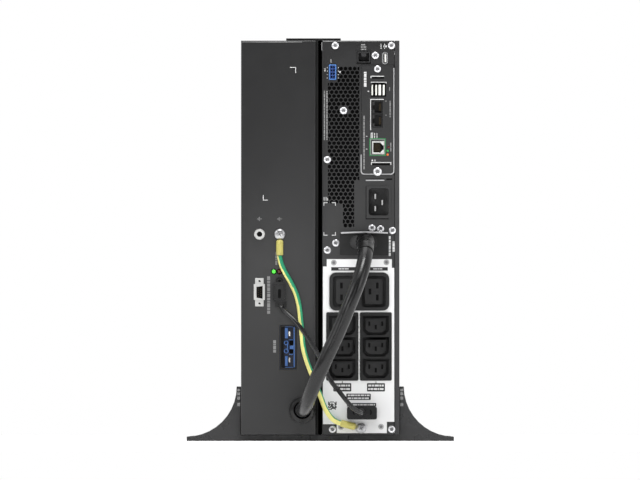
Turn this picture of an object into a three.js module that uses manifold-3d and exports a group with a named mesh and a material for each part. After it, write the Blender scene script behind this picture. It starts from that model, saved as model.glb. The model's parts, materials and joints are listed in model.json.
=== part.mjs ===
// A 2U on-line UPS and its matching battery pack, stood on edge as one tower on stand feet.
// Units are millimetres. +Z is up, the rear panels face -Y, and X runs from battery to UPS.

import * as THREE from 'three';
import { mergeVertices } from 'three/addons/utils/BufferGeometryUtils.js';
import Module from 'manifold-3d';

const wasm = await Module();
wasm.setup();

// ---------------------------------------------------------------- driving dimensions

const CHASSIS_WIDTH = 432; // a 19 inch rack unit without its ears, stood upright
const CHASSIS_DEPTH = 550;
const REAR_Y = -288; // outside of both rear panels
const FRONT_Y = REAR_Y + CHASSIS_DEPTH;
const BEZEL_FACE_Y = 300;
const BOTTOM_Z = 7.1; // the chassis rest on the stand's base strip
const TOP_Z = BOTTOM_Z + CHASSIS_WIDTH;

const UPS_X = [1.9, 86.8];
const BATTERY_X = [-86.9, -2.2];
const UPS_LID_EDGE = 5.3; // width of the lid's folded edge, seen from the rear
const BATTERY_LID_EDGE = 2.4;

const SHEET = 1.2; // steel of trays and lids
const PANEL = 1.5; // steel of rear panels
const GAP = 0.3; // clearance between pieces that touch

const FAN_SIZE = 80;
const FAN_DEPTH = 25;
const FAN_BORE_R = 38;
const FAN_Y = 233;
const FAN_X = 44.2;
const FAN_Z = [125, 335];

const CARD = { x: [45.2, 80.7], z: [292.6, 412.2], corner: 4, proud: 0.6, boardDepth: 136 };
const DISPLAY = { x: [14, 74.4], z: [190, 290], thickness: 14, recess: 1.2 };
const BUTTON_R = 3.5;
const BUTTON_TRAVEL_ROOM = 1.6;

const FOOT_DEPTH = 62;
const FOOT_Y = [-270, 190]; // rear edge of the rear pair and of the front pair
const FOOT_ARM = 4.6;
const FOOT_CURVE_R = 55;
const FOOT_TOE_X = 146.7;
const FOOT_TOE_HEIGHT = 4.9;
const STRIP_HEIGHT = BOTTOM_Z - GAP;
const STRIP_SEAMS = [-11.3, 30.9];

const POWER_CABLE_D = 16;
const COMM_CABLE_D = 5;
const GROUND_WIRE_D = 5.6;

// The cords' centre lines. The second number is the distance out from the rear panels.
const POWER_ROUTE = [
  [-19.5, -8, 33.9], [-19.5, 18, 34], [-18.9, 36, 34.5], [-17, 53, 37], [-14.3, 69, 43.1],
  [-10.5, 83, 52.7], [-5.1, 93, 65.6], [1.4, 100, 79.7], [8.8, 102, 96], [17.1, 102, 113.4],
  [25.1, 102, 131.9], [32.3, 102, 150.3], [39.7, 99, 168.8], [45.6, 91, 186.3], [48.8, 80, 200.6],
  [49.6, 66, 211.4], [49.5, 52, 216.8], [49, 44, 218], [49, 37.6, 218],
];
const COMM_ROUTE = [
  [-42.8, 9, 149.9], [-42.8, 9, 147.9], [-42, 10, 145.8], [-38.7, 14, 142], [-30, 20, 134],
  [-21.1, 24, 123.5], [-12.5, 27, 111.3], [-4.5, 30, 98.1], [2, 32, 85.5], [8.1, 34, 72.8],
  [13.1, 36.5, 63.6], [19.7, 39.5, 55.5], [26.5, 42, 46.8], [32.7, 43, 39.4], [38.4, 41.5, 34.2],
  [43.3, 37.6, 31.8], [45, 33, 31.3], [45, 28.5, 31.3],
];
const GROUND_ROUTE = [
  [-44.5, 4, 203.2], [-44.4, 4.2, 200.8], [-42.6, 6.5, 193.5], [-38.5, 8.5, 184.5], [-32.6, 9, 174],
  [-27.3, 9, 163], [-24, 9, 152], [-22.4, 9, 142], [-21.3, 9, 131], [-19.9, 9, 116],
  [-18.4, 10, 101.5], [-14.8, 11, 88], [-9.2, 11.5, 73], [-3.6, 11.5, 59], [0.9, 11, 47.5],
  [4.5, 10.5, 38], [9, 9.3, 29.5], [14.4, 7.4, 23.4], [19.4, 5.7, 20.5], [22.8, 5.3, 19.6],
];

// ---------------------------------------------------------------- geometry helpers

// The Y of a place this far outside the rear panels.
function out(distance) {
  return REAR_Y - distance;
}

// Merges shared vertices, drops the slivers that merging leaves, and turns the faces outward.
function weld(source) {
  const bare = new THREE.BufferGeometry();
  bare.setAttribute('position', source.getAttribute('position'));
  bare.setIndex(source.getIndex());
  const merged = mergeVertices(bare, 1e-4);
  const position = merged.getAttribute('position');
  const old = merged.getIndex().array;
  const kept = [];
  let volume = 0;
  const [a, b, c] = [new THREE.Vector3(), new THREE.Vector3(), new THREE.Vector3()];
  for (let i = 0; i < old.length; i += 3) {
    const [p, q, r] = [old[i], old[i + 1], old[i + 2]];
    if (p === q || q === r || p === r) continue;
    kept.push(p, q, r);
    a.fromBufferAttribute(position, p);
    b.fromBufferAttribute(position, q);
    c.fromBufferAttribute(position, r);
    volume += a.dot(b.cross(c));
  }
  if (volume < 0) kept.reverse();
  merged.setIndex(kept);
  return merged;
}

function toSolid(source) {
  const welded = weld(source);
  const vertProperties = Float32Array.from(welded.getAttribute('position').array);
  const triVerts = Uint32Array.from(welded.getIndex().array);
  return new wasm.Manifold(new wasm.Mesh({ numProp: 3, vertProperties, triVerts }));
}

function toGeometry(solid) {
  const mesh = solid.getMesh();
  const geometry = new THREE.BufferGeometry();
  geometry.setAttribute('position', new THREE.BufferAttribute(mesh.vertProperties, 3));
  geometry.setIndex(new THREE.BufferAttribute(mesh.triVerts, 1));
  return geometry;
}

function cut(body, ...tools) {
  return toGeometry(tools.reduce((solid, tool) => solid.subtract(toSolid(tool)), toSolid(body)));
}

function join(body, ...others) {
  return toGeometry(others.reduce((solid, other) => solid.add(toSolid(other)), toSolid(body)));
}

function box([x0, x1], [y0, y1], [z0, z1]) {
  const geometry = new THREE.BoxGeometry(x1 - x0, y1 - y0, z1 - z0);
  geometry.translate((x0 + x1) / 2, (y0 + y1) / 2, (z0 + z1) / 2);
  return geometry;
}

// Extrudes a shape drawn in X and Z along Y.
function extrudeY(shape, [y0, y1], curveSegments = 4) {
  const geometry = new THREE.ExtrudeGeometry(shape, { depth: y1 - y0, bevelEnabled: false, curveSegments });
  geometry.rotateX(Math.PI / 2);
  geometry.translate(0, y1, 0);
  return geometry;
}

function polygon(points) {
  return new THREE.Shape(points.map(([x, z]) => new THREE.Vector2(x, z)));
}

// A rectangle in X and Z with rounded corners.
function roundedRect([x0, x1], [z0, z1], r) {
  const shape = new THREE.Shape();
  shape.absarc(x1 - r, z1 - r, r, 0, Math.PI / 2, false);
  shape.absarc(x0 + r, z1 - r, r, Math.PI / 2, Math.PI, false);
  shape.absarc(x0 + r, z0 + r, r, Math.PI, Math.PI * 1.5, false);
  shape.absarc(x1 - r, z0 + r, r, Math.PI * 1.5, Math.PI * 2, false);
  shape.closePath();
  return shape;
}

function roundedBox(x, y, z, r, curveSegments = 3) {
  return extrudeY(roundedRect(x, z, r), y, curveSegments);
}

function circle(x, z, r) {
  const shape = new THREE.Shape();
  shape.absarc(x, z, r, 0, Math.PI * 2, false);
  return shape;
}

function rod(x, z, r, y, curveSegments = 10) {
  return extrudeY(circle(x, z, r), y, curveSegments);
}

// Turns a profile of [radius, y] points about the line through x, z along Y.
function turned(x, z, profile, segments = 24) {
  const geometry = new THREE.LatheGeometry(profile.map(([r, y]) => new THREE.Vector2(r, y)), segments);
  geometry.translate(x, 0, z);
  return geometry;
}

// A round cord along a centre line given as [x, distance out, z] points.
function cord(route, diameter, sides, steps) {
  const points = route.map(([x, d, z]) => new THREE.Vector3(x, out(d), z));
  const section = [];
  for (let i = 0; i < sides; i += 1) {
    const angle = (i / sides) * Math.PI * 2;
    section.push(new THREE.Vector2(Math.cos(angle), Math.sin(angle)).multiplyScalar(diameter / 2));
  }
  const extrudePath = new THREE.CatmullRomCurve3(points, false, 'centripetal');
  return new THREE.ExtrudeGeometry(new THREE.Shape(section), { steps, bevelEnabled: false, extrudePath });
}

// ---------------------------------------------------------------- the assembly

const assembly = new THREE.Group();
const materials = {
  paint: { color: 0x38393a, roughness: 0.55, metalness: 0.3 },
  bezel: { color: 0x202122, roughness: 0.5, metalness: 0 },
  plastic: { color: 0x161617, roughness: 0.45, metalness: 0 },
  stand: { color: 0x2b2c2d, roughness: 0.4, metalness: 0 },
  whitePlate: { color: 0xe8e8e8, roughness: 0.5, metalness: 0.1 },
  zinc: { color: 0xd2d3d6, roughness: 0.25, metalness: 1 },
  bluePlastic: { color: 0x2a5fae, roughness: 0.4, metalness: 0 },
  board: { color: 0x1e5a37, roughness: 0.5, metalness: 0 },
  aluminium: { color: 0xb6b8bb, roughness: 0.4, metalness: 1 },
  rubber: { color: 0x1c1c1d, roughness: 0.6, metalness: 0 },
  sleeve: { color: 0xb9ad57, roughness: 0.5, metalness: 0 },
  groundJacket: { color: 0x2a8f62, roughness: 0.45, metalness: 0 },
  greenLens: { color: 0x3ee03a, roughness: 0.2, metalness: 0 },
  redLens: { color: 0x5e1c1c, roughness: 0.2, metalness: 0 },
  greyButton: { color: 0x55585c, roughness: 0.45, metalness: 0 },
};

function add(name, geometry, materialName, parent = assembly) {
  const mesh = new THREE.Mesh(weld(geometry), new THREE.MeshStandardMaterial(materials[materialName]));
  mesh.name = name;
  parent.add(mesh);
}

// ---------------------------------------------------------------- sheet metal cases

// The U-shaped tray: a floor on the unit's low X side, two side walls, and a front wall.
// A raised rib on one side keeps the two units apart and closes the slit between them.
function baseTray([x0, x1], lidEdge, frontHoles, rib) {
  const wallTop = x1 - lidEdge - GAP;
  const shell = box([x0, wallTop], [REAR_Y + PANEL + GAP, FRONT_Y], [BOTTOM_Z, TOP_Z]);
  const hollow = box(
    [x0 + SHEET, x1],
    [REAR_Y, FRONT_Y - SHEET],
    [BOTTOM_Z + SHEET, TOP_Z - SHEET],
  );
  const opened = cut(shell, hollow, ...frontHoles);
  return rib ? join(opened, rib) : opened;
}

// The lid: a plate on the unit's high X side with folded edges that meet the tray and the rear panel.
function topCover([, x1], lidEdge, rib) {
  const shell = box([x1 - lidEdge, x1], [REAR_Y, FRONT_Y], [BOTTOM_Z, TOP_Z]);
  const hollow = box(
    [x1 - lidEdge - 1, x1 - SHEET],
    [REAR_Y + PANEL, FRONT_Y + 1],
    [BOTTOM_Z + SHEET, TOP_Z - SHEET],
  );
  const lid = cut(shell, hollow);
  return rib ? join(lid, rib) : lid;
}

function rearPanel([x0, x1], lidEdge, openings) {
  const sheet = box([x0, x1 - lidEdge - GAP], [REAR_Y, REAR_Y + PANEL], [BOTTOM_Z, TOP_Z]);
  return cut(sheet, ...openings);
}

// A moulded front bezel with rounded front edges, hollow at the back, with slots for the intake air.
function frontBezel([x0, x1], slotRows, extraCuts) {
  const round = 7;
  const wall = 2.5;
  const y0 = FRONT_Y + GAP;
  const outline = roundedRect([x0 + round, x1 - round], [BOTTOM_Z + round, TOP_Z - round], 2);
  const options = { depth: BEZEL_FACE_Y - y0, bevelThickness: round, bevelSize: round, bevelSegments: 3 };
  const body = new THREE.ExtrudeGeometry(outline, { ...options, curveSegments: 2 });
  body.rotateX(Math.PI / 2);
  body.translate(0, BEZEL_FACE_Y - round, 0);
  const back = box([x0 - 1, x1 + 1], [y0 - 20, y0], [BOTTOM_Z - 1, TOP_Z + 1]);
  const pocket = box(
    [x0 + wall, x1 - wall],
    [y0 - 1, BEZEL_FACE_Y - 3],
    [BOTTOM_Z + wall, TOP_Z - wall],
  );
  const slots = slotRows.map((z) => box([x0 + 12, x1 - 12], [y0, BEZEL_FACE_Y + 1], [z, z + 5]));
  return cut(body, back, pocket, ...slots, ...extraCuts);
}

// ---------------------------------------------------------------- sockets on the rear panels

// A socket body with a lipped flange outside the panel and one or more recesses in its face.
function recessedSocket(flange, body, recesses, islands = []) {
  const block = cut(body ? join(flange, body) : flange, ...recesses);
  return islands.length ? join(block, ...islands) : block;
}

const C19 = { x: [10.2, 75.4], z: [143.2, 184.6], corner: 7, proud: 3.2, depth: 20 };
const C19_RECESS = { width: 27, height: 34.4, islandWidth: 19.6, islandHeight: 27.7, depth: 14 };
const C19_CENTRES = [27.15, 58.65];

function c19OutletBlock() {
  const middle = (C19.z[0] + C19.z[1]) / 2;
  const floor = out(C19.proud) + C19_RECESS.depth;
  const block = roundedBox(C19.x, [out(C19.proud), out(0) + C19.depth], C19.z, C19.corner);
  const recesses = C19_CENTRES.map((x) => centredBox(x, middle, C19_RECESS.width, C19_RECESS.height, 4,
    [out(C19.proud) - 1, floor]));
  const islands = C19_CENTRES.map((x) => centredBox(x, middle, C19_RECESS.islandWidth,
    C19_RECESS.islandHeight, 3, [out(C19.proud) + 1, floor + 1]));
  return recessedSocket(block, null, recesses, islands);
}

function centredBox(x, z, width, height, r, y) {
  return roundedBox([x - width / 2, x + width / 2], y, [z - height / 2, z + height / 2], r);
}

const C13 = { z: [66.4, 140.9], corner: 1.5, proud: 2.4, depth: 20 };
const C13_LEFT_X = [6.7, 41.6];
const C13_RIGHT_X = [43.6, 78.1];
const C13_RECESS = { width: 28.9, height: 21.4, islandWidth: 22.7, islandHeight: 15.5, depth: 13 };
const C13_PITCH = 23.6;
const C13_CHAMFER = 5;

// A rectangle whose two lower corners are cut off, as the outlet's shape is.
function keyedOutline(x, z, width, height, chamfer) {
  const [left, right, low, high] = [x - width / 2, x + width / 2, z - height / 2, z + height / 2];
  return polygon([
    [left, high], [left, low + chamfer], [left + chamfer, low],
    [right - chamfer, low], [right, low + chamfer], [right, high],
  ]);
}

function c13OutletBlock(x) {
  const middleX = (x[0] + x[1]) / 2;
  const middleZ = (C13.z[0] + C13.z[1]) / 2 - 0.5;
  const floor = out(C13.proud) + C13_RECESS.depth;
  const block = roundedBox(x, [out(C13.proud), out(0) + C13.depth], C13.z, C13.corner);
  const recesses = [];
  const islands = [];
  for (const row of [-1, 0, 1]) {
    const z = middleZ + row * C13_PITCH;
    const { width, height, islandWidth, islandHeight } = C13_RECESS;
    const hole = keyedOutline(middleX, z, width, height, C13_CHAMFER);
    const island = keyedOutline(middleX, z, islandWidth, islandHeight, C13_CHAMFER - 1);
    recesses.push(extrudeY(hole, [out(C13.proud) - 1, floor]));
    islands.push(extrudeY(island, [out(C13.proud) + 1, floor + 1]));
  }
  return recessedSocket(block, null, recesses, islands);
}

const INLET_FLANGE = { x: [50.5, 77.3], z: [244.1, 279.4] };
const INLET_BODY = { x: [51.9, 76.3], z: [246.1, 278.4], depth: 24 };
const INLET_MOUTH = { x: [53, 75.2], z: [247.3, 277.2], depth: 19 };
const INLET_PINS = [[60.3, 268.2], [60.3, 254.9], [68, 261.5]];

function acInlet() {
  const face = out(1.8);
  const floor = face + INLET_MOUTH.depth;
  const flange = roundedBox(INLET_FLANGE.x, [face, out(GAP)], INLET_FLANGE.z, 1.5);
  const body = roundedBox(INLET_BODY.x, [out(GAP) - 0.5, out(0) + INLET_BODY.depth], INLET_BODY.z, 3);
  const mouth = roundedBox(INLET_MOUTH.x, [face - 1, floor], INLET_MOUTH.z, 3.5);
  const pins = INLET_PINS.map(([x, z]) => box([x - 1, x + 1], [face + 3, floor + 1], [z - 3, z + 3]));
  return recessedSocket(flange, body, [mouth], pins);
}

// A rectangular jack that stands a little proud of the panel and reaches behind it.
function plainJack(x, z, proud, depth, mouths) {
  const block = box(x, [out(proud), out(0) + depth], z);
  const recesses = mouths.map((mouth) => box(mouth.x, [out(proud) - 1, out(proud) + mouth.depth], mouth.z));
  return cut(block, ...recesses);
}

const SERIAL = { x: [40.3, 55.1], z: [413.9, 427.6] };
const USB_C = { x: [67.8, 74], z: [413.3, 426.5] };
const EPO = { x: [9.5, 17.5], z: [396.1, 412.9] };

function usbPort() {
  const shell = roundedBox(USB_C.x, [out(0.9), out(0) + 9], USB_C.z, 3, 4);
  const mouth = roundedBox([69.3, 72.5], [out(2), out(0) + 6], [415, 424.4], 1.5);
  return cut(shell, mouth);
}

const RECEPTACLE = { x: [21.6, 74.3], z: [203.4, 227.3], plate: 3, lip: 12, lipHeight: 2.2, arch: 0.8 };

// The plate behind the battery plug, with an arched lip over it.
function dcReceptacle() {
  const { x, z, plate, lip, lipHeight, arch } = RECEPTACLE;
  const sheet = box(x, [out(plate), out(GAP)], z);
  const top = new THREE.Shape();
  top.moveTo(x[0] + 1, z[1] - 0.6);
  top.quadraticCurveTo(47.9, z[1] - 0.6 + 2 * arch, x[1] - 0.1, z[1] - 0.6);
  top.lineTo(x[1] - 0.1, z[1] + lipHeight - 0.6);
  top.quadraticCurveTo(47.9, z[1] + lipHeight - 0.6 + 2 * arch, x[0] + 1, z[1] + lipHeight - 0.6);
  top.closePath();
  return join(sheet, extrudeY(top, [out(lip), out(GAP)], 6));
}

// ---------------------------------------------------------------- UPS: case and rear panel

const PLATE_TOP_TAB = { x: [7.1, 78.5], z: 199.4 };
const PLATE_LOW_TAB = { x: [18, 73], z: 8.7 };

function outletPlateOutline() {
  return polygon([
    [18, 8.7], [73, 8.7], [73, 21.1], [81.1, 21.1], [81.1, 189.8], [PLATE_TOP_TAB.x[1], 189.8],
    [PLATE_TOP_TAB.x[1], PLATE_TOP_TAB.z], [PLATE_TOP_TAB.x[0], PLATE_TOP_TAB.z],
    [PLATE_TOP_TAB.x[0], 191.4], [2.9, 191.4], [2.9, 18.5], [PLATE_LOW_TAB.x[0], 18.5],
  ]);
}

function grown([low, high], by) {
  return [low - by, high + by];
}

// Cuts for the outlet blocks, shared by the outlet plate and the panel behind it.
function outletCuts(y) {
  return [
    roundedBox(grown(C19.x, GAP), y, grown(C19.z, GAP), C19.corner + GAP),
    roundedBox(grown(C13_LEFT_X, GAP), y, grown(C13.z, GAP), C13.corner + GAP),
    roundedBox(grown(C13_RIGHT_X, GAP), y, grown(C13.z, GAP), C13.corner + GAP),
  ];
}

const SCREW_UPS = { x: 44.8, z: 13.9 };
const SCREW_BATTERY = { x: -44.5, z: 226.7 };
const POST = { x: -66.6, z: 226.7 };
const SCREW_HOLE_R = 2.9;

function outletPlate() {
  const y = [out(GAP + 1), out(GAP)];
  const through = [out(3), out(0)];
  const screwHole = rod(SCREW_UPS.x, SCREW_UPS.z, SCREW_HOLE_R, through, 6);
  return cut(extrudeY(outletPlateOutline(), y), ...outletCuts(through), screwHole);
}

function upsPanelOpenings() {
  const y = [REAR_Y - 1, REAR_Y + PANEL + 1];
  const wide = (part) => box(grown(part.x, GAP), y, grown(part.z, GAP));
  return [
    ...outletCuts(y),
    roundedBox([CARD.x[0] - GAP, UPS_X[1]], y, grown(CARD.z, GAP), CARD.corner + GAP),
    roundedBox(grown(INLET_BODY.x, GAP), y, grown(INLET_BODY.z, GAP), 3 + GAP),
    roundedBox(grown(USB_C.x, GAP), y, grown(USB_C.z, GAP), 3 + GAP, 4),
    wide(SERIAL),
    wide(EPO),
    rod(SCREW_UPS.x, SCREW_UPS.z, SCREW_HOLE_R, y, 6),
  ];
}

function upsCase() {
  const intakes = FAN_Z.map((z) => rod(FAN_X, z, FAN_BORE_R, [FRONT_Y - 5, FRONT_Y + 5], 12));
  const rib = box([-0.6, UPS_X[0] + 0.5], [245, 248], [BOTTOM_Z, TOP_Z]);
  add('ups_base_tray', baseTray(UPS_X, UPS_LID_EDGE, intakes, rib), 'paint');
  add('ups_top_cover', topCover(UPS_X, UPS_LID_EDGE), 'paint');
  add('ups_rear_panel', rearPanel(UPS_X, UPS_LID_EDGE, upsPanelOpenings()), 'paint');
}

// ---------------------------------------------------------------- UPS: inside

const FIN_COUNT = 13;
const FIN_PITCH = 12;

function heatSink() {
  const y = [-60, 120];
  const base = box([10, 15], y, [40, 40 + FIN_COUNT * FIN_PITCH - 10]);
  const fins = [];
  for (let i = 0; i < FIN_COUNT; i += 1) {
    const z = 40 + i * FIN_PITCH;
    fins.push(box([14, 62], y, [z, z + 2]));
  }
  return join(base, ...fins);
}

function busCapacitor() {
  const geometry = new THREE.CylinderGeometry(25, 25, 62, 24);
  geometry.rotateZ(Math.PI / 2);
  geometry.translate(41, 175, 392);
  return geometry;
}

// The frame: a square ring with four struts that carry the motor plate at its rear.
function fanFrame(z) {
  const half = FAN_SIZE / 2;
  const side = [FAN_X - half, FAN_X + half];
  const shell = roundedBox(side, [FAN_Y, FAN_Y + FAN_DEPTH], [z - half, z + half], 4);
  const ring = cut(shell, rod(FAN_X, z, FAN_BORE_R, [FAN_Y - 1, FAN_Y + FAN_DEPTH + 1], 12));
  const strutY = [FAN_Y, FAN_Y + 2.5];
  const struts = [
    box([FAN_X - half + 1, FAN_X + half - 1], strutY, [z - 2, z + 2]),
    box([FAN_X - 2, FAN_X + 2], strutY, [z - half + 1, z + half - 1]),
    rod(FAN_X, z, 17, strutY, 10),
  ];
  return join(ring, ...struts);
}

// The rotor: a hub with seven pitched blades.
function fanRotor(z) {
  const bladeCount = 7;
  const pitch = THREE.MathUtils.degToRad(38);
  const hub = rod(0, 0, 17, [FAN_Y + 3.5, FAN_Y + 23], 10);
  const blades = [];
  for (let i = 0; i < bladeCount; i += 1) {
    const blade = new THREE.BoxGeometry(21, 1.6, 20);
    blade.rotateX(pitch);
    blade.translate(25.5, FAN_Y + 13.2, 0);
    blade.rotateY((i / bladeCount) * Math.PI * 2);
    blades.push(blade);
  }
  const rotor = join(hub, ...blades);
  rotor.translate(FAN_X, 0, z);
  return rotor;
}

function upsInside() {
  add('ups_main_board', box([4, 5.6], [REAR_Y + 4, 225], [12, 434]), 'board');
  add('heat_sink', heatSink(), 'aluminium');
  add('bus_capacitor', busCapacitor(), 'bezel');
  FAN_Z.forEach((z, i) => {
    add(`fan_frame_${i + 1}`, fanFrame(z), 'plastic');
    add(`fan_rotor_${i + 1}`, fanRotor(z), 'plastic');
  });
}

// ---------------------------------------------------------------- UPS: sockets and network card

function upsSockets() {
  add('outlet_plate', outletPlate(), 'whitePlate');
  add('c19_outlet_block', c19OutletBlock(), 'plastic');
  add('c13_outlet_block_left', c13OutletBlock(C13_LEFT_X), 'plastic');
  add('c13_outlet_block_right', c13OutletBlock(C13_RIGHT_X), 'plastic');
  add('ac_inlet', acInlet(), 'plastic');
  add('epo_connector', box(EPO.x, [out(1.5), out(0) + 12], EPO.z), 'bluePlastic');
  add('serial_jack', plainJack(SERIAL.x, SERIAL.z, 0.8, 16,
    [{ x: [42, 53.4], z: [416, 425.4], depth: 12 }]), 'plastic');
  add('usb_port', usbPort(), 'zinc');
  add('dc_receptacle', dcReceptacle(), 'plastic');
}

const ETHERNET = { x: [56.7, 70.2], z: [314.7, 328.8] };
const USB_A = { x: [55.8, 71.9], z: [377.9, 392.6] };
const IO_JACKS = { x: [56.3, 68], z: [344, 373] };

function networkCard() {
  const plateY = [out(CARD.proud), out(CARD.proud) + PANEL];
  const through = [plateY[0] - 1, plateY[1] + 1];
  const plate = roundedBox(CARD.x, plateY, CARD.z, CARD.corner, 4);
  const windowFor = (jack) => box(grown(jack.x, GAP), through, grown(jack.z, GAP));
  const windows = [ETHERNET, USB_A, IO_JACKS].map(windowFor);
  add('card_faceplate', cut(plate, ...windows), 'paint');
  const boardY = [plateY[1] + GAP, plateY[1] + CARD.boardDepth];
  add('card_board', box([49, 50.6], boardY, [296, 410]), 'board');
  const depth = 12;
  const ethernetMouths = [{ x: [58.2, 68.6], z: [316.4, 327.2], depth }];
  add('card_ethernet_jack', plainJack(ETHERNET.x, ETHERNET.z, 1.6, 15, ethernetMouths), 'zinc');
  const usbZ = [378.9, 391.6];
  const usbMouths = [{ x: [56.7, 62], z: usbZ, depth }, { x: [65.6, 70.9], z: usbZ, depth }];
  add('card_usb_jack', plainJack(USB_A.x, USB_A.z, 1.4, 14, usbMouths), 'zinc');
  const ioMouths = [{ x: [57.3, 67], z: [345, 357.4], depth }, { x: [57.3, 67], z: [360, 372], depth }];
  add('card_io_jacks', plainJack(IO_JACKS.x, IO_JACKS.z, 1, 15, ioMouths), 'plastic');
}

// ---------------------------------------------------------------- UPS: bezel, display and buttons

const BUTTON_PLACES = {
  power_button: [44.2, 200],
  escape_button: [27, 214],
  ok_button: [61.4, 214],
  up_button: [38, 223],
  down_button: [50.4, 223],
};

function upsFront() {
  const slotRows = [];
  for (let z = 28; z < 165; z += 11) slotRows.push(z);
  for (let z = 312; z < 420; z += 11) slotRows.push(z);
  const displayHole = box(grown(DISPLAY.x, 1), [FRONT_Y, BEZEL_FACE_Y + 1], grown(DISPLAY.z, 1));
  add('ups_front_bezel', frontBezel([1.1, 87.2], slotRows, [displayHole]), 'bezel');

  const faceY = BEZEL_FACE_Y - DISPLAY.recess;
  const seatY = faceY - 4.5;
  const panel = roundedBox(DISPLAY.x, [faceY - DISPLAY.thickness, faceY], DISPLAY.z, 4);
  const seatAt = ([x, z]) => rod(x, z, BUTTON_R + GAP, [seatY, faceY + 1], 6);
  const seats = Object.values(BUTTON_PLACES).map(seatAt);
  add('display_panel', cut(panel, ...seats), 'bezel');
  for (const [name, [x, z]] of Object.entries(BUTTON_PLACES)) {
    add(name, rod(x, z, BUTTON_R, [seatY + BUTTON_TRAVEL_ROOM, faceY + 1], 6), 'greyButton');
  }
}

// ---------------------------------------------------------------- battery unit

const DB9 = { z: [147.6, 178.7], wideZ: [154.6, 172.1] };
const DC_SOCKET = { x: [-44.3, -26.3], z: [78.9, 127], proud: 1, depth: 22 };
const GROMMET = { x: -19.5, z: 33.9, outerR: 14.7, boreR: 8.4, length: 7 };

function batteryPanelOpenings() {
  const y = [REAR_Y - 1, REAR_Y + PANEL + 1];
  return [
    box(grown(DC_SOCKET.x, GAP), y, grown(DC_SOCKET.z, GAP)),
    box([-70.3, -62.7], y, [155.7, 170.3]),
    rod(SCREW_BATTERY.x, SCREW_BATTERY.z, SCREW_HOLE_R, y, 6),
    rod(GROMMET.x, GROMMET.z, GROMMET.boreR, y, 8),
  ];
}

function batteryCase() {
  const rib = box([BATTERY_X[1] - 0.5, 0.4], [235, 238], [BOTTOM_Z, TOP_Z]);
  add('battery_base_tray', baseTray(BATTERY_X, BATTERY_LID_EDGE, []), 'paint');
  add('battery_top_cover', topCover(BATTERY_X, BATTERY_LID_EDGE, rib), 'paint');
  add('battery_rear_panel', rearPanel(BATTERY_X, BATTERY_LID_EDGE, batteryPanelOpenings()), 'paint');
  const slotRows = [];
  for (let z = 28; z < 420; z += 11) slotRows.push(z);
  add('battery_front_bezel', frontBezel([-87.1, 0.5], slotRows, []), 'bezel');
}

// Blocks of pouch cells in one tray, with shallow grooves between the modules.
function cellPack() {
  const pack = box([-80, -10], [-190, 235], [18, 428]);
  const grooves = [];
  for (const z of [120, 223, 326]) grooves.push(box([-16, -9], [-191, 236], [z - 2, z + 2]));
  return cut(pack, ...grooves);
}

// The D-shaped service port: a flange with narrow ears, a raised shell and a shallow recess.
function monitorPort() {
  const flange = box([-71.5, -62.1], [out(1.5), out(GAP)], DB9.z);
  const shell = box([-72.9, -60.7], [out(2.6), out(GAP)], DB9.wideZ);
  const rearBody = box([-70, -63], [out(1), out(0) + 8], [156, 170]);
  const mouth = polygon([[-69.9, 157], [-69.9, 169], [-63.2, 170], [-63.2, 156]]);
  return cut(join(flange, shell, rearBody), extrudeY(mouth, [out(4), out(0) + 4]));
}

// A two-pole high-current socket: a deep housing with one contact block for each pole.
function dcSocket() {
  const { x, z, proud, depth } = DC_SOCKET;
  const housing = box(x, [out(proud), out(0) + depth], z);
  const mouth = box([x[0] + 1.6, x[1] - 1.6], [out(proud) - 1, out(0) + 14], [z[0] + 1.6, z[1] - 1.6]);
  const contacts = [91, 115].map((middle) => box([-39.3, -31.3], [out(0) + 6, out(0) + 15],
    [middle - 8, middle + 8]));
  return join(cut(housing, mouth), ...contacts);
}

function statusLed(x, z) {
  const tip = out(2.6);
  return turned(x, z, [[0, out(GAP)], [2.7, out(GAP)], [2.7, tip + 1.2], [1.9, tip + 0.3], [0, tip]], 16);
}

function screwWithShank(x, z, headR, seatY) {
  const top = seatY - 3.4;
  return turned(x, z, [
    [0, REAR_Y + 6], [2.4, REAR_Y + 6], [2.4, seatY], [headR, seatY], [headR, seatY - 1.6],
    [headR * 0.75, top + 0.4], [headR * 0.4, top], [0, top],
  ], 20);
}

function groundPost() {
  const [face, seat] = [out(6), out(GAP)];
  return turned(POST.x, POST.z, [
    [0, seat], [6, seat], [6, face + 1], [5.4, face], [2.8, face], [2.8, face + 5], [0, face + 5],
  ], 20);
}

function cableGrommet() {
  const { x, z, outerR, boreR, length } = GROMMET;
  const [face, seat] = [out(length), out(GAP)];
  return turned(x, z, [
    [boreR, seat], [outerR, seat], [outerR, face + 3.5], [outerR - 2.5, face + 0.6], [boreR + 1.4, face],
    [boreR, face + 1.2], [boreR, seat],
  ], 28);
}

function batteryParts() {
  add('battery_cell_pack', cellPack(), 'bluePlastic');
  add('battery_management_board', box([-82, -80.4], [-270, -200], [30, 400]), 'board');
  add('ground_post', groundPost(), 'zinc');
  add('monitor_port', monitorPort(), 'zinc');
  add('status_led_green', statusLed(-50.9, 185.8), 'greenLens');
  add('status_led_red', statusLed(-44.6, 185.8), 'redLens');
  add('dc_socket', dcSocket(), 'bluePlastic');
  add('cable_grommet', cableGrommet(), 'rubber');
}

// ---------------------------------------------------------------- cords and what is on them

// An oval plug body that tapers into a round strain relief.
function powerPlug() {
  const [x, z] = [49, 218];
  const body = roundedBox([32.6, 62.5], [out(20), out(RECEPTACLE.plate + GAP)], [210.8, 225.1], 6.8);
  const reliefProfile = [[0, out(19)], [10, out(19)], [9.6, out(28)], [8.8, out(37)], [0, out(37)]];
  const relief = turned(x, z, reliefProfile, 20);
  return join(body, relief);
}

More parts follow.
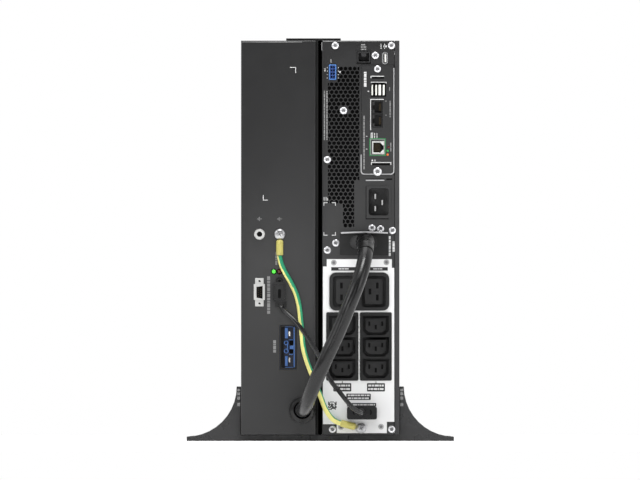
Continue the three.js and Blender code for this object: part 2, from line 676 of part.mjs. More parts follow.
function commPlugBattery() {
  const body = roundedBox([-52.3, -37.7], [out(13), out(GAP)], [152.4, 174.4], 3);
  const knob = rod(-45, 175.8, 4, [out(9), out(GAP)], 8);
  const tab = box([-49.3, -36.9], [out(4), out(GAP)], [146.6, 153]);
  const relief = box([-45.6, -40], [out(12), out(6)], [150.2, 153]);
  return join(body, knob, tab, relief);
}

function commPlugUps() {
  const seat = GAP + 1 + GAP;
  const body = roundedBox([29.2, 62.1], [out(16), out(seat)], [23.6, 37.8], 2.5);
  const relief = turned(45, 31.3, [[0, out(15)], [4.4, out(15)], [3.4, out(28.2)], [0, out(28.2)]], 14);
  return join(body, relief);
}

// A ring terminal: the ring lies under its screw head and the barrel is a sleeve on the wire.
function groundLug(x, z, barrelMiddle, barrelAngle, barrelLength, reach) {
  const ring = cut(rod(0, 0, 5.6, [-1, 0], 8), rod(0, 0, SCREW_HOLE_R, [-2, 1], 6));
  const tongue = box([-2.6, 2.6], [-1, 0], [-reach, -4.2]);
  const barrel = box([-3.9, 3.9], [-7.4, 0], [-barrelLength / 2, barrelLength / 2]);
  barrel.translate(0, 0, -barrelMiddle);
  const lug = join(ring, tongue, barrel);
  lug.rotateY(barrelAngle);
  lug.translate(x, 0, z);
  return lug;
}

function groundLugs() {
  const battery = groundLug(SCREW_BATTERY.x, SCREW_BATTERY.z, 15, 0, 16, 10);
  battery.translate(0, out(GAP), 0);
  add('ground_lug_battery', battery, 'sleeve');
  const plateTop = GAP + 1 + GAP;
  const ups = groundLug(SCREW_UPS.x, SCREW_UPS.z, 14.2, THREE.MathUtils.degToRad(104.4), 16, 10);
  ups.translate(0, out(plateTop), 0);
  add('ground_lug_ups', ups, 'sleeve');
  const ringTop = 1 + GAP;
  const batteryScrew = screwWithShank(SCREW_BATTERY.x, SCREW_BATTERY.z, 6.05, out(GAP + ringTop));
  add('ground_screw_battery', batteryScrew, 'zinc');
  add('ground_screw_ups', screwWithShank(SCREW_UPS.x, SCREW_UPS.z, 5.6, out(plateTop + ringTop)), 'zinc');
}

function cords() {
  add('power_cable', cord(POWER_ROUTE, POWER_CABLE_D, 12, 24), 'rubber');
  add('power_plug', powerPlug(), 'rubber');
  add('comm_cable', cord(COMM_ROUTE, COMM_CABLE_D, 10, 22), 'rubber');
  add('comm_plug_battery', commPlugBattery(), 'plastic');
  add('comm_plug_ups', commPlugUps(), 'plastic');
  add('ground_wire', cord(GROUND_ROUTE, GROUND_WIRE_D, 10, 26), 'groundJacket');
  groundLugs();
}

// ---------------------------------------------------------------- stand

// One foot: a base strip under the chassis, an arm up its side, and a toe swept out by an arc.
function footOutline(side, stripEnd) {
  const inner = (side > 0 ? UPS_X[1] : -BATTERY_X[0]) + GAP;
  const shape = new THREE.Shape();
  shape.moveTo(side * stripEnd, 0);
  shape.lineTo(side * FOOT_TOE_X, 0);
  shape.lineTo(side * FOOT_TOE_X, FOOT_TOE_HEIGHT);
  const top = FOOT_TOE_HEIGHT + FOOT_CURVE_R;
  for (let i = 1; i < 10; i += 1) {
    const angle = (i / 10) * (Math.PI / 2);
    const x = FOOT_TOE_X - FOOT_CURVE_R * Math.sin(angle);
    shape.lineTo(side * x, top - FOOT_CURVE_R * Math.cos(angle));
  }
  shape.lineTo(side * (inner + FOOT_ARM), top);
  shape.lineTo(side * inner, top);
  shape.lineTo(side * inner, STRIP_HEIGHT);
  shape.lineTo(side * stripEnd, STRIP_HEIGHT);
  shape.closePath();
  return shape;
}

function stand() {
  ['rear', 'front'].forEach((place, i) => {
    const y = [FOOT_Y[i], FOOT_Y[i] + FOOT_DEPTH];
    const [leftSeam, rightSeam] = STRIP_SEAMS;
    add(`foot_${place}_left`, extrudeY(footOutline(-1, -leftSeam + GAP / 2), y), 'stand');
    add(`foot_${place}_right`, extrudeY(footOutline(1, rightSeam + GAP / 2), y), 'stand');
    const strip = [leftSeam + GAP / 2, rightSeam - GAP / 2];
    add(`foot_${place}_extension`, box(strip, y, [0, STRIP_HEIGHT]), 'stand');
  });
  add('top_joining_plate', box([-37.4, 22.5], [-278, -178], [TOP_Z + GAP, TOP_Z + 2.7]), 'paint');
}

upsCase();
upsInside();
upsSockets();
networkCard();
upsFront();
batteryCase();
batteryParts();
cords();
stand();

export default assembly;
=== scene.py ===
"""Looks for a rackmount UPS and its battery pack, stood on edge as a tower, seen from the rear.

Lengths in the tables and calls below are millimetres in the frame's axes unless a name says otherwise.
"""

import json
import math

import bmesh
import bpy
import mathutils
from mathutils import Matrix, Vector


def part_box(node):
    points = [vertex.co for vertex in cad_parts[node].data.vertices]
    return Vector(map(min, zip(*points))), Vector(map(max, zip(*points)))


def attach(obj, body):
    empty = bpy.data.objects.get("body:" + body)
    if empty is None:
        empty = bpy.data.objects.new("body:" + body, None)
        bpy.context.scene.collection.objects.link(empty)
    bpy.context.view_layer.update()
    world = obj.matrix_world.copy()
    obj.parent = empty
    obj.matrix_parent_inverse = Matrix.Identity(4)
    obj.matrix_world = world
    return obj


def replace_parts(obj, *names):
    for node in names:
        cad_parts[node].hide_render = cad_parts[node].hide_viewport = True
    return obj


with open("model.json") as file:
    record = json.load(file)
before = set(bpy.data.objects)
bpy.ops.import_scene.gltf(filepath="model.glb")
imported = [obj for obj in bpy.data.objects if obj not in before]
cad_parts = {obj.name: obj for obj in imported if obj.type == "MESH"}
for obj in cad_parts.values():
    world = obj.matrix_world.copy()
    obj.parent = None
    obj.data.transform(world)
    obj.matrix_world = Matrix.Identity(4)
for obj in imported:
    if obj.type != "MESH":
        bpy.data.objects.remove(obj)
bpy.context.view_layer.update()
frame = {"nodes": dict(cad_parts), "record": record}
NODES = frame["nodes"]
MM = 0.001
BODY_OF = {n: b for b, names in frame["record"]["behaviour"]["bodies"].items() for n in names}


def span(node):
    """A CAD node's lowest and highest corner in millimetres."""
    low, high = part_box(node)
    return low / MM, high / MM


REAR_Y = span("ups_rear_panel")[0].y
TOP_Z = span("ups_base_tray")[1].z
BOTTOM_Z = span("ups_base_tray")[0].z
PLATE_FACE = 1.3  # how far the outlet plate's face stands out of the rear panels
CARD_FACE = 0.6  # how far the network card's face stands out


def out(distance):
    """The Y of a place this far outside the rear panels."""
    return REAR_Y - distance


def rear_of(node):
    """The Y of a CAD node's rear face."""
    return span(node)[0].y


def middle_of(node):
    """The x and z of a CAD node's middle."""
    low, high = span(node)
    return (low.x + high.x) / 2, (low.z + high.z) / 2


# ------------------------------------------------------------------ stage

CAMERA_HEIGHT = 30
CAMERA_DISTANCE = 20000  # a long lens from far away, so that nothing behind the panels shows past them
VIEW_WIDTH = 701.7
VIEW_MIDDLE = Vector((-0.3, REAR_Y, 220.4))


def add_camera():
    data = bpy.data.cameras.new("camera")
    data.sensor_width = 36
    data.lens = data.sensor_width * CAMERA_DISTANCE / VIEW_WIDTH
    data.clip_end = 3 * CAMERA_DISTANCE * MM
    camera = bpy.data.objects.new("camera", data)
    place = Vector((VIEW_MIDDLE.x, REAR_Y - CAMERA_DISTANCE, CAMERA_HEIGHT))
    camera.location = place * MM
    camera.rotation_euler = (VIEW_MIDDLE - place).to_track_quat("-Z", "Y").to_euler()
    bpy.context.scene.collection.objects.link(camera)
    bpy.context.scene.camera = camera


def add_area_light(name, place, aim, size, power):
    data = bpy.data.lights.new(name, "AREA")
    data.shape = "RECTANGLE"
    data.size = size[0] * MM
    data.size_y = size[1] * MM
    data.energy = power
    light = bpy.data.objects.new(name, data)
    light.location = Vector(place) * MM
    light.visible_camera = False
    light.rotation_euler = (Vector(aim) - Vector(place)).to_track_quat("-Z", "Y").to_euler()
    bpy.context.scene.collection.objects.link(light)


STUDIO_DARK = 0.08  # behind the camera, where nothing is lit
STUDIO_WHITE = 1.0  # the lit backdrop


def set_inputs(node, inputs):
    """Sets a shader node's inputs by name, with _ for a space."""
    for key, value in inputs.items():
        node.inputs[key.replace("_", " ")].default_value = value


def add_node(tree, kind, **inputs):
    node = tree.nodes.new(f"ShaderNode{kind}")
    set_inputs(node, inputs)
    return node


def add_world():
    """A white backdrop beyond the object that falls off to a dim studio behind the camera."""
    world = bpy.data.worlds.new("studio")
    world.use_nodes = True
    tree = world.node_tree
    place = add_node(tree, "TexCoord")
    split = add_node(tree, "SeparateXYZ")
    fall = add_node(tree, "MapRange", From_Min=-0.9, From_Max=0.5, To_Min=STUDIO_DARK, To_Max=STUDIO_WHITE)
    fall.interpolation_type = "SMOOTHSTEP"
    background = tree.nodes["Background"]
    set_inputs(background, {"Color": (1, 1, 1, 1)})
    tree.links.new(place.outputs["Generated"], split.inputs["Vector"])
    tree.links.new(split.outputs["Y"], fall.inputs["Value"])
    tree.links.new(fall.outputs["Result"], background.inputs["Strength"])
    bpy.context.scene.world = world


def add_floor():
    half = 6.0  # metres
    mesh = bpy.data.meshes.new("floor")
    corners = [(-half, -half, 0), (half, -half, 0), (half, half, 0), (-half, half, 0)]
    mesh.from_pydata(corners, [], [(0, 1, 2, 3)])
    floor = bpy.data.objects.new("floor", mesh)
    paper = plain("lit_white_floor", (0.9, 0.9, 0.9), 0.9, Emission_Color=(1, 1, 1, 1), Emission_Strength=0.4)
    floor.data.materials.append(paper)
    bpy.context.scene.collection.objects.link(floor)


def add_stage():
    bpy.context.scene.view_settings.view_transform = "Standard"
    add_world()
    add_floor()
    middle = (0, REAR_Y, 200)
    add_area_light("key", (-1900, REAR_Y - 1600, 1500), middle, (1200, 1200), 16)
    add_area_light("fill", (2000, REAR_Y - 1500, 1000), middle, (1100, 1400), 12)
    add_area_light("low_glow", (-45, REAR_Y - 480, 195), (-45, REAR_Y, 195), (160, 90), 0.16)
    add_area_light("high_glow", (80, REAR_Y - 480, 300), (80, REAR_Y, 300), (60, 160), 0.07)
    add_area_light("top", (0, 300, 2600), (0, 0, 300), (1600, 1600), 15)
    add_area_light("hair", (60, REAR_Y - 620, 1500), (40, REAR_Y - 80, 190), (620, 420), 14)


# ------------------------------------------------------------------ materials


def plain(name, color, roughness, metallic=0.0, **inputs):
    """A principled material, with any further inputs of its shader."""
    material = bpy.data.materials.new(name)
    material.use_nodes = True
    shader = material.node_tree.nodes["Principled BSDF"]
    basic = {"Base Color": (*color, 1), "Roughness": roughness, "Metallic": metallic}
    set_inputs(shader, {**basic, **inputs})
    return material


def noise(material, scale, detail):
    """A noise texture on the piece's own coordinates, in features per metre."""
    tree = material.node_tree
    place = add_node(tree, "TexCoord")
    texture = add_node(tree, "TexNoise", Scale=scale, Detail=detail)
    tree.links.new(place.outputs["Object"], texture.inputs["Vector"])
    return texture


def add_bump(material, scale, strength, depth):
    tree = material.node_tree
    bump = add_node(tree, "Bump", Strength=strength, Distance=depth)
    tree.links.new(noise(material, scale, 4.0).outputs["Fac"], bump.inputs["Height"])
    tree.links.new(bump.outputs["Normal"], tree.nodes["Principled BSDF"].inputs["Normal"])


def add_mottle(material, scale, dark, light, socket):
    """Varies a socket between two colours with soft noise."""
    tree = material.node_tree
    ramp = add_node(tree, "ValToRGB")
    for element, position, color in zip(ramp.color_ramp.elements, (0.35, 0.65), (dark, light)):
        element.position = position
        element.color = (*color, 1)
    tree.links.new(noise(material, scale, 3.0).outputs["Fac"], ramp.inputs["Fac"])
    tree.links.new(ramp.outputs["Color"], tree.nodes["Principled BSDF"].inputs[socket])


def scaled(color, factor):
    return tuple(channel * factor for channel in color)


LOOKS = {}
GRAIN = (900, 0.15, 0.00006)  # features per metre, strength and depth in metres
PAINT_GRAIN = (1500, 0.12, 0.00004)
PLASTIC_GRAIN = (1300, 0.15, 0.00004)
BLUE_GRAIN = (900, 0.12, 0.00004)
PAINTED = {"spread": 0.03, "uneven": 0.01, "grain": PAINT_GRAIN}


def surface(name, color, roughness, metallic=0.0, spread=0.08, grain=GRAIN, uneven=0.045, **inputs):
    """A material in LOOKS with slight colour and gloss variation and a fine surface grain."""
    material = plain(name, color, roughness, metallic, **inputs)
    add_mottle(material, 35, scaled(color, 1 - spread), scaled(color, 1 + spread), "Base Color")
    add_mottle(material, 60, [roughness - uneven] * 3, [roughness + uneven] * 3, "Roughness")
    if grain:
        add_bump(material, *grain)
    LOOKS[name] = material


# name, colour, roughness, metallic and spread of the looks that are too small to show a grain
FINE_LOOKS = (
    ("bright_edge", (0.42, 0.42, 0.43), 0.35, 0.2, 0.08),
    ("screw_metal", (0.74, 0.74, 0.76), 0.24, 0.45, 0.03),
    # a darker copy of the screw metal: painted shade in driver recesses
    ("shaded_recess_metal", (0.15, 0.15, 0.155), 0.4, 0.2, 0.08),
    ("blade_metal", (0.36, 0.36, 0.36), 0.45, 0.2, 0.04),
    # the next look is a light grey that paints the highlight along the bends of the rear panels
    ("edge_highlight", (0.26, 0.26, 0.26), 0.35, 0.2, 0.3),
    ("dim_contact", (0.05, 0.035, 0.015), 0.4, 0.5, 0.08),
    ("pin_metal", (0.75, 0.74, 0.72), 0.22, 1.0, 0.08),
    # a lighter copy of the blue: painted highlight on the edges of the stop connector
    ("blue_edge_highlight", (0.09, 0.23, 0.56), 0.35, 0, 0.08),
    ("dull_zinc", (0.46, 0.46, 0.47), 0.34, 0.85, 0.05),
    # a darker copy of the blue: painted shade at the back of the power socket
    ("shaded_blue", (0.003, 0.006, 0.022), 0.5, 0, 0.08),
    ("dull_screw", (0.36, 0.36, 0.36), 0.4, 0.3, 0.08),
    # a light grey that paints the highlights on the ribs of the feet
    ("rib_highlight", (0.30, 0.30, 0.30), 0.35, 0.1, 0.25),
    ("red_lens", (0.11, 0.012, 0.012), 0.2, 0, 0.08),
    ("orange_lens", (0.75, 0.16, 0.02), 0.25, 0, 0.08),
    ("small_green", (0.02, 0.32, 0.06), 0.25, 0, 0.08),
    ("ink", (0.62, 0.62, 0.62), 0.6, 0, 0.1),
    ("grey_ink", (0.22, 0.22, 0.22), 0.6, 0, 0.1),
    ("black_ink", (0.006, 0.006, 0.006), 0.5, 0, 0.1),
    ("green_print", (0.014, 0.17, 0.045), 0.45, 0, 0.08),
    ("white_plastic", (0.75, 0.75, 0.70), 0.4, 0, 0.08),
)


def make_materials():
    surface("paint", (0.0155, 0.0155, 0.016), 0.36, **PAINTED)
    surface("lid_paint", (0.028, 0.028, 0.029), 0.36, **PAINTED)
    # a darker copy of the paint for the battery's top cover: painted shade on its edge between the two units
    surface("shaded_cover_paint", (0.004, 0.004, 0.004), 0.6, Specular_IOR_Level=0.2)
    surface("bezel", (0.012, 0.012, 0.013), 0.42, grain=(1100, 0.2, 0.00005))
    surface("plastic", (0.012, 0.012, 0.0125), 0.4, grain=PLASTIC_GRAIN, Specular_IOR_Level=0.4)
    surface("outlet_black", (0.005, 0.005, 0.0053), 0.4, grain=PLASTIC_GRAIN, Specular_IOR_Level=0.35)
    surface("c19_black", (0.007, 0.007, 0.0073), 0.4, grain=PLASTIC_GRAIN, Specular_IOR_Level=0.4)
    surface("joining_paint", (0.006, 0.006, 0.006), 0.4, grain=PAINT_GRAIN)
    surface("boot", (0.003, 0.003, 0.0031), 0.28, grain=(600, 0.15, 0.00006), Specular_IOR_Level=0.45)
    # a near-black used as painted shade in slots, holes, mouths and gaps, and for a few black parts
    surface("dark", (0.002, 0.002, 0.002), 0.7, grain=None, Specular_IOR_Level=0.1)
    surface("stand", (0.03, 0.03, 0.031), 0.3, grain=(700, 0.12, 0.00005))
    surface("white_plate", (0.76, 0.76, 0.76), 0.45, spread=0.02, grain=(1500, 0.1, 0.00003))
    surface("zinc", (0.72, 0.73, 0.75), 0.24, 1.0, spread=0.05, grain=(600, 0.1, 0.00004))
    surface("jack_metal", (0.62, 0.62, 0.60), 0.32, 1.0, spread=0.06)
    surface("port_metal", (0.5, 0.5, 0.49), 0.45, 0.35, spread=0.05)
    surface("blue", (0.012, 0.045, 0.19), 0.38, grain=BLUE_GRAIN)
    surface("blue_light", (0.035, 0.11, 0.32), 0.35, grain=BLUE_GRAIN)
    surface("cell_wrap", (0.02, 0.09, 0.28), 0.5, grain=(300, 0.3, 0.0003))
    surface("foam", (0.012, 0.012, 0.0125), 0.9, spread=0.5, grain=(700, 0.9, 0.0006))
    surface("board", (0.012, 0.10, 0.04), 0.4, spread=0.25)
    surface("aluminium", (0.6, 0.61, 0.62), 0.4, 1.0)
    surface("capacitor", (0.01, 0.01, 0.015), 0.35)
    surface("rubber", (0.006, 0.006, 0.0063), 0.25, grain=(500, 0.14, 0.0001), Specular_IOR_Level=0.4)
    surface("thin_jacket", (0.011, 0.011, 0.0115), 0.26, grain=(700, 0.15, 0.00005))
    surface("sleeve", (0.50, 0.45, 0.12), 0.42, grain=(260, 0.35, 0.0003))
    surface("wire_green", (0.016, 0.27, 0.13), 0.36, spread=0.06)
    surface("wire_yellow", (0.78, 0.74, 0.25), 0.38, spread=0.05)
    surface("green_lens", (0.08, 0.55, 0.06), 0.2, grain=None, Emission_Color=(0.1, 1.0, 0.06, 1),
            Emission_Strength=0.45)
    surface("button", (0.09, 0.095, 0.1), 0.45, grain=(900, 0.2, 0.00004))
    surface("screen", (0.02, 0.03, 0.035), 0.12, grain=None, Coat_Weight=0.6)
    for name, color, roughness, metallic, spread in FINE_LOOKS:
        surface(name, color, roughness, metallic, spread, grain=None)


# ------------------------------------------------------------------ mesh helpers

SHARP_ANGLE = 35  # degrees between two faces from which the edge stays sharp, unless a call says otherwise


def link(name, mesh, body, slot, *materials):
    """Makes a mesh into a piece that rides on a body, with its materials; the slot argument is not used."""
    piece = bpy.data.objects.new(name, mesh)
    bpy.context.scene.collection.objects.link(piece)
    for material in materials:
        piece.data.materials.append(LOOKS[material])
    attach(piece, body)
    return piece


def finish_mesh(name, bm, angle=SHARP_ANGLE):
    bmesh.ops.recalc_face_normals(bm, faces=bm.faces)
    mesh = bpy.data.meshes.new(name)
    bm.to_mesh(mesh)
    bm.free()
    mesh.transform(Matrix.Scale(MM, 4))
    smooth(mesh, angle)
    return mesh


def add_piece(name, bm, slot, *materials, body="chassis", angle=SHARP_ANGLE):
    """Makes a bmesh, in millimetres, into a piece."""
    return link(name, finish_mesh(name, bm, angle), body, slot, *materials)


def smooth(mesh, angle):
    for face in mesh.polygons:
        face.use_smooth = True
    mesh.set_sharp_from_angle(angle=math.radians(angle))


def bevel(piece, width, segments=2):
    """Rounds a piece's edges by width millimetres."""
    modifier = piece.modifiers.new("rounded_edges", "BEVEL")
    modifier.width = width * MM
    modifier.segments = segments
    modifier.limit_method = "ANGLE"
    modifier.angle_limit = math.radians(SHARP_ANGLE)
    modifier.harden_normals = True
    return piece


def add_box(bm, x, y, z):
    corners = [bm.verts.new((a, b, c)) for a in x for b in y for c in z]
    for face in ((0, 1, 3, 2), (4, 6, 7, 5), (0, 4, 5, 1), (2, 3, 7, 6), (0, 2, 6, 4), (1, 5, 7, 3)):
        bm.faces.new([corners[i] for i in face])


def add_prism(bm, outline, y):
    """A prism along Y over an outline of (x, z) points."""
    rings = [[bm.verts.new((px, level, pz)) for px, pz in outline] for level in y]
    bm.faces.new(rings[0])
    bm.faces.new(rings[1][::-1])
    count = len(outline)
    for i in range(count):
        j = (i + 1) % count
        bm.faces.new((rings[0][i], rings[1][i], rings[1][j], rings[0][j]))


def add_boxes(name, boxes, slot, material, body="chassis"):
    """Boxes, each given by its x, y and z limits, all in one piece."""
    bm = bmesh.new()
    for x, y, z in boxes:
        add_box(bm, x, y, z)
    return add_piece(name, bm, slot, material, body=body)


def add_plates(name, outlines, y, slot, material, body="chassis"):
    """Prisms over (x, z) outlines between the same two depths, all in one piece."""
    bm = bmesh.new()
    for outline in outlines:
        add_prism(bm, outline, y)
    return add_piece(name, bm, slot, material, body=body)


def add_frames(name, frames, y, slot, material, body="chassis"):
    """Flat frames, each given by its outline and holes, all in one piece."""
    bm = bmesh.new()
    for loops in frames:
        add_sheet(bm, loops, y)
    return add_piece(name, bm, slot, material, body=body)


def disc(x, z, r, sides=16, turn=0.0):
    angles = [turn + 2 * math.pi * i / sides for i in range(sides)]
    return [(x + r * math.cos(a), z + r * math.sin(a)) for a in angles]


def rounded(x, z, r, steps=4):
    """A rectangle's outline with rounded corners."""
    points = []
    corners = ((x[1] - r, z[1] - r), (x[0] + r, z[1] - r), (x[0] + r, z[0] + r), (x[1] - r, z[0] + r))
    for corner, (cx, cz) in enumerate(corners):
        for i in range(steps + 1):
            angle = math.pi / 2 * (corner + i / steps)
            points.append((cx + r * math.cos(angle), cz + r * math.sin(angle)))
    return points


def grown(limits, by):
    return (limits[0] - by, limits[1] + by)


def flat_ring(inner, outer, near, far):
    """The profile of a flat ring between two depths, or of a disc when inner is 0."""
    return [(inner, near), (outer, near), (outer, far), (inner, far)]


def add_turned(bm, x, z, profile, sides):
    """A solid turned about the Y direction through x, z from (radius, y) points; radius 0 closes an end."""
    rings = []
    for r, y in profile:
        if r == 0:
            rings.append([bm.verts.new((x, y, z))])
        else:
            rings.append([bm.verts.new((px, y, pz)) for px, pz in disc(x, z, r, sides)])
    closed = len(rings[0]) > 1
    for a, b in zip(rings, rings[1:] + (rings[:1] if closed else [])):
        for i in range(sides):
            j = (i + 1) % sides
            if len(a) == 1 and len(b) == 1:
                continue
            if len(a) == 1:
                bm.faces.new((a[0], b[i], b[j]))
            elif len(b) == 1:
                bm.faces.new((a[i], b[0], a[j]))
            else:
                bm.faces.new((a[i], b[i], b[j], a[j]))


def cut_mesh(mesh, cutter_bm):
    """Cuts the solids in a bmesh, in millimetres, out of a mesh and returns the result."""
    target = bpy.data.objects.new("cut_target", mesh)
    tool = bpy.data.objects.new("cut_tool", finish_mesh("cut_tool", cutter_bm))
    for item in (target, tool):
        bpy.context.scene.collection.objects.link(item)
    modifier = target.modifiers.new("cut", "BOOLEAN")
    modifier.object = tool
    modifier.solver = "EXACT"
    result = bpy.data.meshes.new_from_object(target.evaluated_get(bpy.context.evaluated_depsgraph_get()))
    for item in (target, tool):
        bpy.data.objects.remove(item)
    result.materials.clear()
    return result


def clean_copy(node):
    """A copy of a CAD node's mesh with its corners merged and its flat faces whole."""
    bm = bmesh.new()
    bm.from_mesh(NODES[node].data)
    bmesh.ops.remove_doubles(bm, verts=bm.verts, dist=0.01 * MM)
    bmesh.ops.dissolve_limit(bm, angle_limit=math.radians(1), verts=bm.verts, edges=bm.edges)
    mesh = bpy.data.meshes.new(node)
    bm.to_mesh(mesh)
    bm.free()
    return mesh


def slot_of(node):
    return next(s["material_slot"] for s in frame["record"]["subparts"] if s["node"] == node)


def refined(node, material, width, cutter=None, segments=2):
    """The CAD node again with rounded edges, its own material and any finer cuts."""
    mesh = clean_copy(node)
    mesh.materials.clear()
    if cutter is not None:
        mesh = cut_mesh(mesh, cutter)
    smooth(mesh, SHARP_ANGLE)
    piece = link(f"{node}_finished", mesh, BODY_OF[node], slot_of(node), material)
    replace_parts(piece, node)
    return bevel(piece, width, segments) if width else piece


def flat_faces(loops):
    """The vertices and faces of a flat area: the first loop is its outline, the others are holes."""
    points, edges = [], []
    for loop in loops:
        start = len(points)
        points += [Vector(p) for p in loop]
        edges += [(start + i, start + (i + 1) % len(loop)) for i in range(len(loop))]
    verts, _, triangles, *_ = mathutils.geometry.delaunay_2d_cdt(points, edges, [], 1, 1e-4)
    kept = []
    for triangle in triangles:
        middle = sum((verts[i] for i in triangle), Vector((0, 0))) / 3
        if not any(holds_point(hole, middle) for hole in loops[1:]):
            kept.append(triangle)
    return verts, kept


def holds_point(outline, point):
    """Whether a closed outline goes round a point."""
    inside = False
    for (x0, z0), (x1, z1) in zip(outline, [*outline[1:], outline[0]]):
        if (z0 > point.y) != (z1 > point.y) and point.x < x0 + (point.y - z0) * (x1 - x0) / (z1 - z0):
            inside = not inside
    return inside


def add_sheet(bm, loops, y):
    """A flat plate of some thickness with holes."""
    points, faces = flat_faces(loops)
    skins = []
    for level in y:
        verts = [bm.verts.new((p.x, level, p.y)) for p in points]
        skins.append([bm.faces.new([verts[i] for i in face]) for face in faces])
    near, far = skins
    rim = [edge.verts[:] for face in near for edge in face.edges if edge.is_boundary]
    partner = {}
    for face_near, face_far in zip(near, far):
        partner.update(zip(face_near.verts, face_far.verts))
    for a, b in rim:
        bm.faces.new((a, b, partner[b], partner[a]))


def sheet_piece(name, node, outline, holes, y, material):
    """A flat plate with any number of holes, which stands for a CAD plate."""
    piece = add_frames(name, [[outline, *holes]], y, slot_of(node), material, BODY_OF[node])
    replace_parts(piece, node)
    return piece


# ------------------------------------------------------------------ cords

# The routes of part.mjs: x, distance out from the rear panels, z.
POWER_ROUTE = [
    (-19.5, -8, 33.9), (-19.5, 18, 34), (-18.9, 36, 34.5), (-17, 53, 37), (-14.3, 69, 43.1),
    (-10.5, 83, 52.7), (-5.1, 93, 65.6), (1.4, 100, 79.7), (8.8, 102, 96), (17.1, 102, 113.4),
    (25.1, 102, 131.9), (32.3, 102, 150.3), (39.7, 99, 168.8), (45.6, 91, 186.3), (48.8, 80, 200.6),
    (49.6, 66, 211.4), (49.5, 52, 216.8), (49, 44, 218), (49, 37.6, 218),
]
COMM_ROUTE = [
    (-42.8, 9, 149.9), (-42.8, 9, 147.9), (-42, 10, 145.8), (-38.7, 14, 142), (-30, 20, 134),
    (-21.1, 24, 123.5), (-12.5, 27, 111.3), (-4.5, 30, 98.1), (2, 32, 85.5), (8.1, 34, 72.8),
    (13.1, 36.5, 63.6), (19.7, 39.5, 55.5), (26.5, 42, 46.8), (32.7, 43, 39.4), (38.4, 41.5, 34.2),
    (43.3, 37.6, 31.8), (45, 33, 31.3), (45, 28.5, 31.3),
]
GROUND_ROUTE = [
    (-44.5, 4, 203.2), (-44.4, 4.2, 200.8), (-42.6, 6.5, 193.5), (-38.5, 8.5, 184.5), (-32.6, 9, 174),
    (-27.3, 9, 163), (-24, 9, 152), (-22.4, 9, 142), (-21.3, 9, 131), (-19.9, 9, 116),
    (-18.4, 10, 101.5), (-14.8, 11, 88), (-9.2, 11.5, 73), (-3.6, 11.5, 59), (0.9, 11, 47.5),
    (4.5, 10.5, 38), (9, 9.3, 29.5), (14.4, 7.4, 23.4), (19.4, 5.7, 20.5), (22.8, 5.3, 19.6),
]
POWER_DIAMETER = 16
COMM_DIAMETER = 5
GROUND_DIAMETER = 5.6
BOOT_STEPS = 29  # how many points at the end of the power cable's line the boot covers
LUG_CENTRES = {"ground_lug_battery": (-44.5, 226.7), "ground_lug_ups": (44.8, 13.9)}
LUG_PROFILE = ((6.2, 2.4), (6.8, 3.2), (7.6, 3.7), (9, 3.9), (14, 3.85), (19, 3.9), (22, 3.85), (23, 3.5))


STEPS_PER_SPAN = 8


def route_line(route):
    """The route's smooth centre line, in metres."""
    points = [Vector((x, out(d), z)) for x, d, z in route]
    ends = [2 * points[0] - points[1], *points, 2 * points[-1] - points[-2]]
    line = []
    for p0, p1, p2, p3 in zip(ends, ends[1:], ends[2:], ends[3:]):
        knots = [0.0]
        for a, b in ((p0, p1), (p1, p2), (p2, p3)):
            knots.append(knots[-1] + (b - a).length ** 0.5)
        for i in range(STEPS_PER_SPAN):
            t = knots[1] + (knots[2] - knots[1]) * i / STEPS_PER_SPAN
            line.append(catmull_rom((p0, p1, p2, p3), knots, t) * MM)
    line.append(points[-1] * MM)
    return line


def catmull_rom(points, knots, t):
    """The point at t on the span between the middle two of four points."""
    p0, p1, p2, p3 = points
    k0, k1, k2, k3 = knots
    a = p0.lerp(p1, (t - k0) / (k1 - k0))
    b = p1.lerp(p2, (t - k1) / (k2 - k1))
    c = p2.lerp(p3, (t - k2) / (k3 - k2))
    d = a.lerp(b, (t - k0) / (k2 - k0))
    e = b.lerp(c, (t - k1) / (k3 - k1))
    return d.lerp(e, (t - k1) / (k2 - k1))


def tube_rings(bm, line, radii, sides):
    """Rings of vertices round a line that don't twist against each other."""
    tangents = [(b - a).normalized() for a, b in zip(line, line[1:])]
    tangents.append(tangents[-1])
    side = Vector((0.1, -1, 0.1))
    rings = []
    for point, tangent, radius in zip(line, tangents, radii):
        side = (side - tangent * side.dot(tangent)).normalized()
        other = tangent.cross(side)
        ring = []
        for i in range(sides):
            angle = 2 * math.pi * i / sides
            ring.append(bm.verts.new(point + (side * math.cos(angle) + other * math.sin(angle)) * radius))
        rings.append(ring)
    return rings


def in_stripe(stripe, share, turn):
    """Whether a place part of the way along and round a tube is in its stripe. A stripe is its width and
    its middle at each end, in degrees from the side that faces away from the panels."""
    width, first, last = stripe
    middle = first + (last - first) * share
    return abs((turn * 360 - middle + 180) % 360 - 180) < width / 2


def tube(name, line, radii, sides, slot, materials, stripe=None):
    """A round tube down a line in metres, with a radius for each point."""
    bm = bmesh.new()
    rings = tube_rings(bm, line, radii, sides)
    bm.faces.new(rings[0][::-1])
    bm.faces.new(rings[-1])
    for k, (a, b) in enumerate(zip(rings, rings[1:])):
        for i in range(sides):
            j = (i + 1) % sides
            face = bm.faces.new((a[i], a[j], b[j], b[i]))
            if stripe and in_stripe(stripe, k / len(rings), (i + 0.5) / sides):
                face.material_index = 1
    bmesh.ops.recalc_face_normals(bm, faces=bm.faces)
    mesh = bpy.data.meshes.new(name)
    bm.to_mesh(mesh)
    bm.free()
    smooth(mesh, 50)
    return link(name, mesh, "chassis", slot, *materials)


def round_cord(name, line, diameter, sides, slot, materials, stripe=None):
    radii = [diameter / 2 * MM] * len(line)
    return tube(name, line, radii, sides, slot, materials, stripe)


def make_plug_boot(power):
    """The ribbed strain relief that bends with the cable where it leaves its plug."""
    line = power[-BOOT_STEPS:]
    radii = []
    for i in range(len(line)):
        share = i / (len(line) - 1)
        rib = 0.4 if i % 4 < 2 else 0
        radii.append((8.5 + 1.4 * share + rib) * MM)
    return tube("power_plug_boot", line, radii, 32, "cable_rubber", ["boot"])


